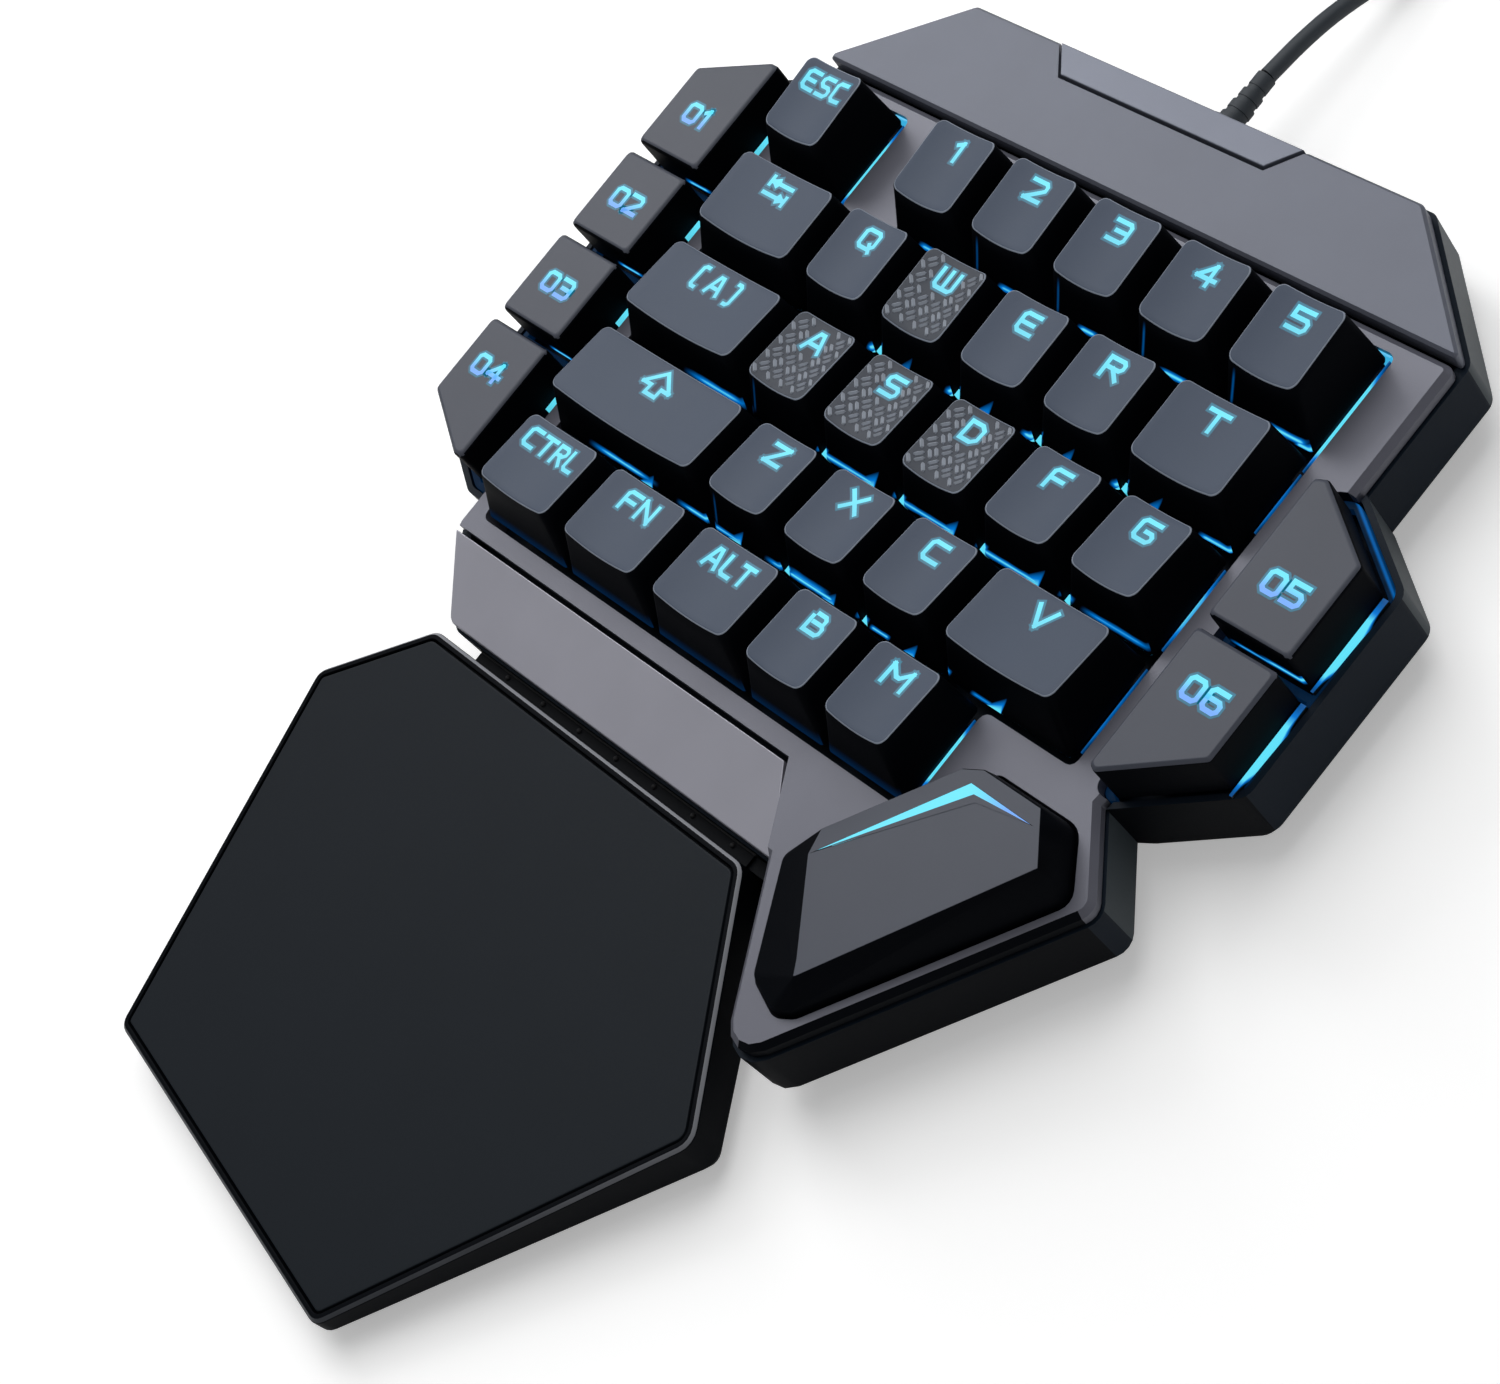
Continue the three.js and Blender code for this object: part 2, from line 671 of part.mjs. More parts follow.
// Front: the frame's slanted edge beside the thumb runs on up the side of the trim panel.
const frame_outline = grown(case_outline, -frame_inset);
const frame_back = frame_back_share * block_depth;
const frame_front = frame_front_share * block_depth;
const left_of_all = Math.min(...left_pod.map(([x]) => x)) - overrun;
const [tip_point, corner_point] = [frame_outline[thumb_tip_index], frame_outline[thumb_tip_index + 1]];
const edge_at = (y) => corner_point[0]
  + (corner_point[0] - tip_point[0]) * (y - corner_point[1]) / (corner_point[1] - tip_point[1]);
const front_region = [
  [left_of_all, frame_front], [edge_at(frame_front), frame_front], corner_point,
  [corner_point[0], corner_point[1] - case_height], [left_of_all, corner_point[1] - case_height],
];
const panel_back = frame_front - panel_gap;
const frontTop = (x, y) => (
  front_panel_drop * (y - panel_back) / (panel_back - corner_point[1]) - panel_step);
const frontUnder = (x, y) => frontTop(x, y) - front_panel_thickness;
const frontSeat = (x, y) => frontUnder(x, y) - seat_gap;

const front_prism = (inset, low, high) => slab(grown(front_region, -inset), low, high);

// Cable exit
const cable_x = cable_place_share * block_width;
const back_wall = Math.max(...case_outline.map(([, y]) => y));

function lathed(profile, sides) {
  const geometry = new THREE.LatheGeometry(
    profile.map(([r, s]) => new THREE.Vector2(r, s)), sides);
  return solidOf(geometry);
}

const exit_hole = placed(
  lathed([
    [0, -case_wall - overrun], [relief_neck_radius + seat_gap, -case_wall - overrun],
    [relief_neck_radius + seat_gap, overrun], [0, overrun],
  ], relief_sides), cable_x, back_wall, -cable_depth);

// Palm rest
const palm_outline = outlineOf(palm_outline_shares);
const palm_back = Math.max(...palm_outline.map(([, y]) => y));
const palmTop = (x, y) => palm_slope * (y - palm_back) - palm_back_depth;
const case_front = case_outline[thumb_tip_index + 1][1];
const bridge_left = bridge_left_share * block_width;
const bridge_right = bridge_right_share * block_width;
const bridge_front = case_front - seat_gap;
const bridge_low = -bridge_top_depth - bridge_thickness;
const tongue_middle = -bridge_top_depth - bridge_thickness / 2;
const tongue_pitch = (bridge_right - bridge_left) / tongue_count;
const tongue_places = Array.from({ length: tongue_count }, (_, i) => (
  bridge_left + (i + 0.5) * tongue_pitch));

const tongueBox = (x, grow, low, high) => slab(
  rectangle(x - tongue_width / 2 - grow, low, x + tongue_width / 2 + grow, high),
  tongue_middle - tongue_thickness / 2 - grow, tongue_middle + tongue_thickness / 2 + grow);

const slots = tongue_places.map((x) => (
  tongueBox(x, seat_gap, case_front - overrun, case_front + case_wall + overrun)));

// Feet
const footDisc = ([x, y], radius, low, high) => slab(
  moved(circle(radius, foot_sides), [x, y]), low, high);
const case_feet = outlineOf(case_foot_shares);
const palm_feet = outlineOf(palm_foot_shares);
const foot_seats = (places) => places.map((place) => footDisc(
  place, foot_radius + seat_gap, case_bottom - overrun, case_bottom + foot_recess));

const post_bodies = posts.map((place) => slab(
  moved(circle(post_radius, post_sides), place), case_bottom + case_floor / 2,
  plate_bottom - seat_gap));

const case_body = bodies
  .subtract(frame_footprint)
  .subtract(inner_room)
  .subtract(pod_opening(left_pod_outline))
  .subtract(pod_opening(right_pod_outline))
  .subtract(front_prism(0, frontSeat, overrun))
  .subtract(exit_hole);
piece('bottom_case', joined([case_body, ...post_bodies])
  .subtract(joined([...slots, ...foot_seats(case_feet)])), black_plastic);

case_feet.forEach((place, i) => piece(
  `case_foot_${i + 1}`,
  footDisc(place, foot_radius, desk, case_bottom + foot_recess - seat_gap), rubber));
palm_feet.forEach((place, i) => piece(
  `palm_rest_foot_${i + 1}`,
  footDisc(place, foot_radius, desk, case_bottom + foot_recess - seat_gap), rubber));

// Switch plate with the switch housings standing in it

function housing([x, y]) {
  const foot = housing_foot / 2;
  const top = housing_top / 2;
  const body = hull([
    ring(rectangle(-foot, -foot, foot, foot), plate_top), ring(rectangle(-top, -top, top, top), 0),
  ]).add(slab(rectangle(-foot, -foot, foot, foot), housing_bottom, plate_top));
  return placed(body, x, y, 0);
}

const wellOf = ([x, y], radius) => slab(
  moved(circle((radius + plunger_clearance) / Math.cos(Math.PI / plunger_sides),
    plunger_sides), [x, y]),
  housing_bottom + well_floor, overrun);

const plate_pods = [left_pod_outline, right_pod_outline].map((pod) => slab(
  insetRounded(pod, pod_corner_radius, case_wall + plate_margin), plate_bottom, plate_top));
const bare_plate = joined([slab(plate_outline, plate_bottom, plate_top), ...plate_pods]);
const sockets = stabiliser_places.map(([x, y]) => slab(
  moved(circle(stabiliser_radius + plunger_clearance + stabiliser_socket_wall, plunger_sides),
    [x, y]), housing_bottom, -key_travel / 2));
const relief_notch = slab(rectangle(
  cable_x - relief_neck_radius - seat_gap, back_wall - case_wall - relief_root - seat_gap,
  cable_x + relief_neck_radius + seat_gap, back_wall), plate_bottom - overrun, plate_top + overrun);
piece('switch_plate', joined([bare_plate, ...switch_places.map(housing), ...sockets])
  .subtract(joined([
    relief_notch,
    ...switch_places.map((place) => wellOf(place, plunger_radius)),
    ...stabiliser_places.map((place) => wellOf(place, stabiliser_radius)),
  ])), black_plastic);

// Circuit board: the posts of the case pass through it.
const board_pods = [left_pod_outline, right_pod_outline].map((pod) => slab(
  grown(pod, -board_margin), board_top - board_thickness, board_top));
piece('circuit_board', joined([
  slab(board_outline, board_top - board_thickness, board_top), ...board_pods,
]).subtract(joined(posts.map((place) => slab(
  moved(circle(post_radius + seat_gap, post_sides), place), floor_top, 0)))), board_green);

// Key frame, with skirts that line the key well and the thumb recess
const well_left = -well_clearance;
const well_right = block_width + well_clearance;
const [esc_key] = key_row_shares[0];
const first_digit = key_row_shares[0][1];
const last_key = key_row_shares[row_count - 1].at(-1);
const island_left = (esc_key[1] + esc_key[2]) * key_pitch + well_clearance;
const island_right = first_digit[1] * key_pitch - well_clearance;
const last_right = (last_key[1] + last_key[2]) * key_pitch + well_clearance;
const row_line = (row) => -row * key_pitch;
const thumb_side = [thumb_recess[0], thumb_recess[thumb_recess.length - 1]];
const thumb_run = [thumb_side[1][0] - thumb_side[0][0], thumb_side[1][1] - thumb_side[0][1]];
const thumb_run_length = Math.hypot(...thumb_run);
const well_front = row_line(row_count) - well_clearance;

// The well's corner beside the thumb key is cut off along the recess, a wall away from it.
const past_web = ([x, y]) => ((x - thumb_side[0][0]) * thumb_run[1]
  - (y - thumb_side[0][1]) * thumb_run[0]) / thumb_run_length + web_width;
const corner_cut = past_web([last_right, well_front]);
const cut_across = corner_cut * thumb_run_length / Math.abs(thumb_run[1]);
const cut_down = corner_cut * thumb_run_length / Math.abs(thumb_run[0]);
const well_corner = corner_cut > 0
  ? [[last_right, well_front + cut_down], [last_right - cut_across, well_front]]
  : [[last_right, well_front]];
const well_outline = [
  [well_left, well_clearance], [island_left, well_clearance],
  [island_left, row_line(1) + well_clearance], [island_right, row_line(1) + well_clearance],
  [island_right, well_clearance], [well_right, well_clearance],
  [well_right, row_line(row_count - 1) - well_clearance],
  [last_right, row_line(row_count - 1) - well_clearance],
  ...well_corner, [well_left, well_front],
];
const well_rounded = rounded(well_outline, well_corner_radius, 3);
const recess_rounded = rounded(thumb_recess, thumb_recess_radii);

const frame_plan = between(frame_outline, -Infinity, frame_back);
const frame_edge = rounded(frame_plan, frame_corner_radii);
const frame_plate = loft([
  ring(frame_edge, frame_bottom), ring(frame_edge, -frame_bevel),
  ring(insetRounded(frame_plan, frame_corner_radii, frame_bevel), 0),
]);
const skirts = joined([
  rounded(grown(well_outline, skirt_wall), well_corner_radius, 3),
  rounded(grown(thumb_recess, skirt_wall), thumb_recess_radii),
].map((outline) => slab(outline, skirt_bottom, -frame_bevel)))
  .intersect(slab(grown(case_outline, -case_wall - seat_gap), skirt_bottom - overrun, 0));
const frame_cuts = joined([
  slab(well_rounded, skirt_bottom - overrun, overrun),
  slab(recess_rounded, skirt_bottom - overrun, overrun),
  front_prism(0, skirt_bottom - overrun, overrun),
  ...[left_pod, right_pod].map((pod) => slab(
    insetRounded(pod, pod_corner_radius, pod_rim_wall), skirt_bottom - overrun, overrun)),
]);
piece('top_frame', frame_plate.add(skirts).subtract(frame_cuts), paint);

// Rear panel with its insert
const panel_front = frame_back + panel_gap;
const rear_plan = between(grown(case_outline, -rear_panel_inset), panel_front, Infinity);
const rear_edge = rounded(rear_plan, panel_corner_radius);
const panel_top = rear_panel_rise;
const rear_body = loft([
  ring(rear_edge, frame_bottom), ring(rear_edge, panel_top - rear_panel_bevel),
  ring(insetRounded(rear_plan, panel_corner_radius, rear_panel_bevel), panel_top),
]);
const insert_back = back_wall - rear_panel_inset;
const insert_middle = block_width / 2;
const insert_plan = [
  [insert_middle - insert_width / 2, insert_back], [insert_middle + insert_width / 2, insert_back],
  [insert_middle + insert_width / 2 - insert_slant, insert_back - insert_depth],
  [insert_middle - insert_width / 2 + insert_slant, insert_back - insert_depth],
];
piece('rear_panel', rear_body.subtract(slab(
  grown(insert_plan, [overrun, insert_groove, insert_groove, insert_groove]),
  panel_top - insert_thickness - seat_gap, panel_top + overrun)), paint);
piece('rear_insert', slab(
  insert_plan, panel_top - insert_thickness, panel_top + insert_rise), silver_paint);

// Front trim panel
piece('front_panel', slab(rounded(frame_outline, frame_inset_radii), frontUnder, frontTop)
  .intersect(front_prism(panel_gap, -case_height, 0)), silver_paint);

// Light guides: a lit plate round the macro keys of each bank, seen in the gaps
const guide_top = -rim_depth - guide_drop;
[['left', left_pod, left_keys], ['right', right_pod, right_keys]].forEach(([side, pod, keys]) => {
  const plate = slab(insetRounded(pod, pod_corner_radius, pod_rim_wall + seat_gap),
    guide_top - guide_thickness, guide_top);
  piece(`light_guide_${side}`, plate.subtract(joined(keys.map((outline) => slab(
    grown(outline, guide_gap), guide_top - guide_thickness - overrun, overrun)))), light_guide);
});

// Palm rest: a shell whose top slopes down to the front, with a pad let into it
const palm_low = case_bottom;
const palm_edge = rounded(palm_outline, palm_corner_radii);
const palm_body = hull([
  ring(insetRounded(palm_outline, palm_corner_radii, palm_chamfer_width), palm_low),
  ring(palm_edge, palm_low + palm_chamfer_height),
  ring(palm_edge, (x, y) => palmTop(x, y) - palm_bevel),
  ring(insetRounded(palm_outline, palm_corner_radii, palm_bevel), palmTop),
]);
const pad_floor = (x, y) => palmTop(x, y) - pad_thickness;
const bridge = slab(
  rectangle(bridge_left, palm_back - bridge_root, bridge_right, bridge_front),
  bridge_low, -bridge_top_depth);
const tongues = tongue_places.map((x) => tongueBox(
  x, 0, bridge_front - overrun, case_front + tongue_length));
piece('palm_rest_base', joined([palm_body, bridge, ...tongues])
  .subtract(slab(insetRounded(palm_outline, palm_corner_radii, palm_rim), pad_floor, overrun))
  .subtract(joined(foot_seats(palm_feet))), black_plastic);
piece('palm_rest_pad', slab(
  insetRounded(palm_outline, palm_corner_radii, palm_rim + pad_groove),
  (x, y) => pad_floor(x, y) + seat_gap, palmTop), pad_skin);

// Strain relief: a ribbed sleeve that tapers from a collar on the back wall
const relief_start = seat_gap + relief_collar_length;
const ring_pitch = (relief_length - relief_start) / relief_rings;
const ribs = Array.from({ length: relief_rings }, (_, i) => {
  const radius = relief_neck_radius
    - (relief_neck_radius - relief_tip_radius) * i / (relief_rings - 1);
  const start = relief_start + i * ring_pitch;
  const waist = start + ring_pitch * relief_waist_share;
  return i + 1 < relief_rings
    ? [[radius, start], [radius, waist], [radius - relief_groove_depth, waist],
      [radius - relief_groove_depth, start + ring_pitch]]
    : [[radius, start], [radius, start + ring_pitch]];
}).flat();
piece('strain_relief', placed(lathed([
  [0, -case_wall - relief_root], [relief_neck_radius, -case_wall - relief_root],
  [relief_neck_radius, seat_gap], [relief_collar_radius, seat_gap],
  [relief_collar_radius, relief_start], ...ribs, [0, relief_length],
], relief_sides), cable_x, back_wall, -cable_depth), rubber, on_the_cord);

// Cable: out of the sleeve, down to the desk and back along it to the coil
const exit_point = new THREE.Vector3(cable_x, back_wall + relief_length + seat_gap, -cable_depth);
const route = cable_route.map((point) => new THREE.Vector3(...point).add(exit_point));
const section = new THREE.Shape(circle(cable_diameter / 2, cable_sides)
  .map(([x, y]) => new THREE.Vector2(x, y)));
piece('cable', solidOf(new THREE.ExtrudeGeometry(section, {
  steps: cable_steps, bevelEnabled: false, extrudePath: new THREE.CatmullRomCurve3(route),
})), rubber, on_the_cord);

// Coil: loops that spiral in and out in layers, and climb where the spiral turns back
const coil_begin = route.at(-1).clone().add(new THREE.Vector3(0, seat_gap + cable_diameter, 0));
const coil_outer = coil_radius + coil_pitch * turns_in_a_layer / 2;
const coil_middle = [coil_begin.x - coil_outer, coil_begin.y];
const coil_turns = layer_count * turns_in_a_layer;
const coil_low = coil_begin.z;
const smooth = (t) => t * t * (3 - 2 * t);

function coilPoint(turn) {
  const within = turn / turns_in_a_layer;
  const layer = Math.min(Math.floor(within), layer_count - 1);
  const share = within - layer;
  const inwards = layer % 2 ? 1 - share : share;
  const radius = coil_outer - coil_pitch * turns_in_a_layer * inwards;
  const nearest = Math.round(within);
  const beside = turn - nearest * turns_in_a_layer;
  const climbs = nearest > 0 && nearest < layer_count && Math.abs(beside) < climb_turn_share / 2;
  const level = climbs
    ? nearest - 1 + smooth(beside / climb_turn_share + 1 / 2)
    : layer;
  const angle = 2 * Math.PI * turn;
  return new THREE.Vector3(
    coil_middle[0] + radius * Math.cos(angle), coil_middle[1] + radius * Math.sin(angle),
    coil_low + level * coil_pitch);
}

// The tail swings out round the coil and down to the plug, which lies on the desk.
const plug_level = desk + plug_height / 2;
const coil_top = coil_low + (layer_count - 1) * coil_pitch;

function tailPoint(share) {
  const angle = 2 * Math.PI * (coil_turns + share * tail_turn_share);
  const radius = coil_outer + tail_reach * smooth(share);
  return new THREE.Vector3(
    coil_middle[0] + radius * Math.cos(angle), coil_middle[1] + radius * Math.sin(angle),
    coil_top + (plug_level - coil_top) * smooth(share));
}

function coilSpine(fineness) {
  const count = Math.round(coil_turns * coil_steps * fineness);
  const loops = Array.from({ length: count }, (_, i) => coilPoint(coil_turns * i / count));
  const tail_count = tail_steps * fineness;
  const tail = Array.from({ length: tail_count + 1 }, (_, i) => tailPoint(i / tail_count));
  return [...loops, ...tail];
}

const spine = coilSpine(1);
const heading = new THREE.Vector3(0, 1, 0);
const last_angle = 2 * Math.PI * (coil_turns + tail_turn_share);
const plug_heading = new THREE.Vector3(-Math.sin(last_angle), Math.cos(last_angle), 0);
spine.unshift(spine[0].clone().addScaledVector(heading, -cable_diameter));
spine.push(spine.at(-1).clone().addScaledVector(plug_heading, cable_diameter));

function tube(points, radius, sides) {
  const up = new THREE.Vector3(0, 0, 1);
  const directions = points.map((point, i) => {
    if (i === 0) return heading.clone();
    if (i === points.length - 1) return plug_heading.clone();
    return points[i + 1].clone().sub(points[i - 1]).normalize();
  });
  const flat = circle(radius, sides);
  const rings = points.map((point, i) => {
    const across = directions[i].clone().cross(up).normalize();
    const over = across.clone().cross(directions[i]);
    return flat.map(([a, b]) => point.clone().addScaledVector(across, a).addScaledVector(over, b));
  });
  const index = [];
  rings.slice(1).forEach((_, r) => flat.forEach((__, i) => {
    const a = r * sides + i;
    const b = r * sides + (i + 1) % sides;
    index.push(a, b, b + sides, a, b + sides, a + sides);
  }));
  const end = (rings.length - 1) * sides;
  for (let i = 1; i + 1 < sides; i += 1) index.push(0, i + 1, i, end, end + i, end + i + 1);
  const geometry = new THREE.BufferGeometry();
  geometry.setAttribute('position', new THREE.BufferAttribute(
    new Float32Array(rings.flat().flatMap((p) => p.toArray())), 3));
  geometry.setIndex(index.reverse());
  return solidOf(geometry);
}

piece('cable_coil', tube(spine, cable_diameter / 2, coil_sides), rubber, on_the_cord);

// Least gap of the coil to itself, on points along it that are more than half a turn apart
const fine_spine = coilSpine(gap_fineness);
const apart = Math.round(coil_steps * gap_fineness / 2);
let least = Infinity;
fine_spine.forEach((a, i) => {
  for (let j = i + apart; j < fine_spine.length; j += 1) {
    least = Math.min(least, a.distanceTo(fine_spine[j]));
  }
});
console.log(`least gap of the coil to itself: ${(least - cable_diameter).toFixed(2)} mm`);
const fine_length = (points) => points.slice(1)
  .reduce((sum, point, i) => sum + point.distanceTo(points[i]), 0);
const cable_length = fine_length(new THREE.CatmullRomCurve3(route).getPoints(cable_steps * 4))
  + fine_length(fine_spine);
console.log(`length of the cable: ${cable_length.toFixed(0)} mm`);

// Tie: a strap round the bundle on the far side of the coil
const bundle_inner = coil_outer - coil_pitch * turns_in_a_layer;
const tie_left = -coil_outer - cable_diameter / 2 - tie_clearance - tie_thickness;
const tie_right = -bundle_inner + cable_diameter / 2 + tie_clearance + tie_thickness;
const tie_low = coil_low - cable_diameter / 2 - seat_gap - tie_thickness;
const tie_high = coil_top + cable_diameter / 2 + tie_clearance + tie_thickness;
const strap = rectangle(tie_left, tie_low, tie_right, tie_high);
const strap_solid = slab(rounded(strap, tie_corner), -tie_width / 2, tie_width / 2)
  .subtract(slab(insetRounded(strap, tie_corner, tie_thickness), -tie_width, tie_width));
const upright = new THREE.Matrix4().makeRotationX(Math.PI / 2)
  .setPosition(coil_middle[0], coil_middle[1], 0);
piece('cable_tie', posed(strap_solid, upright), rubber, on_the_cord);

// Plug: a moulded grip, a metal shell and the tongue inside it
const grip_end = plug_neck_length + plug_body_length;
const grip = joined([
  hull([
    ring(circle(plug_tip_radius, relief_sides), seat_gap),
    ring(circle(plug_neck_radius, relief_sides), plug_neck_length + overrun),
  ]),
  slab(rounded(rectangle(-plug_width / 2, -plug_height / 2, plug_width / 2, plug_height / 2),
    plug_body_radius), plug_neck_length, grip_end),
]);
const shellBox = (grow, low, high) => slab(rectangle(
  -shell_width / 2 - grow, -shell_height / 2 - grow, shell_width / 2 + grow, shell_height / 2 + grow,
), low, high);
const inner_width = shell_width - 2 * shell_wall;
const inner_height = shell_height - 2 * shell_wall;
const plug_tongue = slab(rectangle(
  plug_tongue_clearance - inner_width / 2, 0,
  inner_width / 2 - plug_tongue_clearance, inner_height / 2 - plug_tongue_clearance,
), grip_end - shell_seat - overrun, grip_end + shell_length - overrun);
const plug_frame = new THREE.Matrix4().makeBasis(
  new THREE.Vector3(0, 0, 1).cross(plug_heading), new THREE.Vector3(0, 0, 1), plug_heading,
).setPosition(spine.at(-1));
piece('plug_body', posed(grip
  .subtract(shellBox(seat_gap, grip_end - shell_seat, grip_end + overrun)).add(plug_tongue),
plug_frame), rubber, on_the_cord);
piece('plug_shell', posed(
  shellBox(0, grip_end - shell_seat + seat_gap, grip_end + shell_length)
    .subtract(shellBox(-shell_wall, 0, grip_end + shell_length + overrun)),
  plug_frame), steel, on_the_cord);

// The origin lies under the middle of the keypad, on the surface that it stands on.
keypad.updateMatrixWorld(true);
const extent = new THREE.Box3();
housed.forEach((mesh) => extent.expandByObject(mesh, true));
const middle_of_all = extent.getCenter(new THREE.Vector3());
keypad.position.set(-middle_of_all.x, -middle_of_all.y, -extent.min.z);

const group = new THREE.Group();
group.add(keypad);
console.log(`shift of the pieces: ${keypad.position.toArray().map((v) => v.toFixed(3)).join(' ')}`);

export default group;
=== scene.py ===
# %% [markdown]
# # A one-handed gaming keypad
# This lesson dresses a finished mechanical model as a product photograph shows it. The model
# already knows where every piece is and how it moves. Here each piece gets the form, the edges
# and the finish that the eye expects, and every new piece rides on the body that carries it.

# %% The frame
import functools
import math

import bmesh
import bpy
from mathutils import Matrix, Quaternion, Vector

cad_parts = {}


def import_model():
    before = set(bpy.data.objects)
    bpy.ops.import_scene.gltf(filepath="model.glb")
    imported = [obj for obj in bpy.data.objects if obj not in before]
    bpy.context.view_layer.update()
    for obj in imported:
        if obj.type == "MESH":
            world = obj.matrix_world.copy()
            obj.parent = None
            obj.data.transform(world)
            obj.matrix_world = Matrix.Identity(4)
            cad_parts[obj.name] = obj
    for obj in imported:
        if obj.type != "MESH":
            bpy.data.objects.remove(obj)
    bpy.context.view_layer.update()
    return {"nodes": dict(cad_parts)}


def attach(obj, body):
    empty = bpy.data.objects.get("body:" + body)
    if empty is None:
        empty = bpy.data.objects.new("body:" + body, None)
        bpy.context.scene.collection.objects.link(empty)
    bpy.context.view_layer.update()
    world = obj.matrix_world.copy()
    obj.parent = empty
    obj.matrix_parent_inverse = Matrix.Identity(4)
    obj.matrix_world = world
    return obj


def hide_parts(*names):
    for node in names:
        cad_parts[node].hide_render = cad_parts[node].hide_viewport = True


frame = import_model()
nodes = frame["nodes"]

# %% [markdown]
# The solids were drawn in millimetres from the back left corner of the key block, at the height
# of the keycaps' lower edges. That is a handy way to think about a keyboard, so this lesson
# gives all places in those block millimetres and turns them into metres in one function.

# %% Places and sizes
MM = 0.001
BLOCK_ORIGIN = Vector((-64.648, 94.298, 20.0))
KEY_PITCH = 19.05
ROW_NAMES = (
    ("esc 0 1", "1 1.75 1", "2 2.75 1", "3 3.75 1", "4 4.75 1", "5 5.75 1"),
    ("tab 0 1.5", "q 1.5 1", "w 2.5 1", "e 3.5 1", "r 4.5 1", "t 5.5 1.25"),
    ("caps 0 1.75", "a 1.75 1", "s 2.75 1", "d 3.75 1", "f 4.75 1", "g 5.75 1"),
    ("shift 0 2.25", "z 2.25 1", "x 3.25 1", "c 4.25 1", "v 5.25 1.5"),
    ("ctrl 0 1.25", "fn 1.25 1.25", "alt 2.5 1.25", "b 3.75 1", "m 4.75 1"),
)


def world(x, y, z):
    """A place on the key block, in millimetres, as a point of the scene in metres."""
    return (BLOCK_ORIGIN + Vector((x, y, z))) * MM


KEYS = {}
for row, names in enumerate(ROW_NAMES):
    for entry in names:
        name, start, width = entry.split()
        KEYS[name] = {
            "row": row, "width": float(width),
            "x": (float(start) + float(width) / 2) * KEY_PITCH,
            "y": -(row + 0.5) * KEY_PITCH,
        }
print("keys on the block:", len(KEYS))

# %% [markdown]
# The camera comes first, because everything else is judged through it. The photograph was taken
# from the right and above with a longish lens, and the camera was turned about its own axis, so
# the keypad lies across the picture from corner to corner.

# %% Camera
EYE = Vector((0.354515, -0.040927, 0.412709))
AIM = Vector((0.006725, 0.000119, 0.02))
ROLL = math.radians(46.3125)
FOCAL_LENGTH, SENSOR_WIDTH = 81.4245, 36.0

lens = bpy.data.cameras.new("camera")
lens.sensor_width = SENSOR_WIDTH
lens.lens = FOCAL_LENGTH
lens.clip_start = 0.01
camera = bpy.data.objects.new("camera", lens)
camera.location = EYE
camera.rotation_mode = "QUATERNION"
level = (AIM - EYE).to_track_quat("-Z", "Y")
camera.rotation_quaternion = level @ Quaternion((0, 0, 1), -ROLL)
bpy.context.scene.collection.objects.link(camera)
bpy.context.scene.camera = camera
bpy.context.scene.view_settings.view_transform = "Standard"
print("camera looks from", [round(v, 3) for v in EYE], "with lens", lens.lens)

# %% [markdown]
# A finish is a small network of shader nodes. Written node by node it is hard to read, so one
# class wraps a socket and lets sums be written as sums: `1 - mask` adds a Math node. Every other
# kind of node comes from one method, which takes its type, its settings and its inputs.

# %% Shader sums


class Flow:
    """One output of a material's nodes. Sums on it add Math nodes."""

    def __init__(self, tree, socket=None):
        self.tree, self.socket = tree, socket

    def node(self, kind, settings=None, inputs=None, output=0):
        made = self.tree.nodes.new(kind)
        for name, value in (settings or {}).items():
            if name == "stops":
                ramp = made.color_ramp
                while len(ramp.elements) < len(value):
                    ramp.elements.new(0.5)
                for element, (place, colour) in zip(ramp.elements, value):
                    element.position, element.color = place, colour
            else:
                setattr(made, name, value)
        for name, value in (inputs or {}).items():
            if isinstance(value, Flow):
                self.tree.links.new(value.socket, made.inputs[name])
            else:
                made.inputs[name].default_value = value
        return Flow(self.tree, made.outputs[output])

    def maths(self, operation, *values):
        return self.node("ShaderNodeMath", {"operation": operation}, dict(enumerate(values)))

    def __add__(self, other):
        return self.maths("ADD", self, other)

    def __sub__(self, other):
        return self.maths("SUBTRACT", self, other)

    def __rsub__(self, other):
        return self.maths("SUBTRACT", other, self)

    def __mul__(self, other):
        return self.maths("MULTIPLY", self, other)

    def __truediv__(self, other):
        return self.maths("DIVIDE", self, other)

    __radd__, __rmul__ = __add__, __mul__

    def parts(self):
        """The three numbers of a vector."""
        split = self.tree.nodes.new("ShaderNodeSeparateXYZ")
        self.tree.links.new(self.socket, split.inputs[0])
        return [Flow(self.tree, output) for output in split.outputs]

    def clamped(self):
        return self.node("ShaderNodeClamp", {}, {"Value": self})

    def step(self, low, high):
        """0 below low, 1 above high, and a smooth rise between them."""
        return self.node(
            "ShaderNodeMapRange", {"interpolation_type": "SMOOTHSTEP"},
            {"Value": self, "From Min": low, "From Max": high},
        )


# %% [markdown]
# Materials start from one recipe: a Principled shader whose colour wanders a little, whose
# roughness has a fine grain, and whose surface has a bump so small that it only breaks up the
# reflections, as the texture of a moulding tool does. Places inside a material are object
# coordinates. They are fixed to the piece, so nothing slides when the piece moves.

# %% A material and its parts
CLOUD_SIZE = 14.0
WANDER = 0.08  # how far colour and roughness wander, as a share


def opened(material):
    """A material's shader, and a Flow that stands for the place on the piece."""
    tree = material.node_tree
    return tree.nodes["Principled BSDF"], Flow(tree).node("ShaderNodeTexCoord", output="Object")


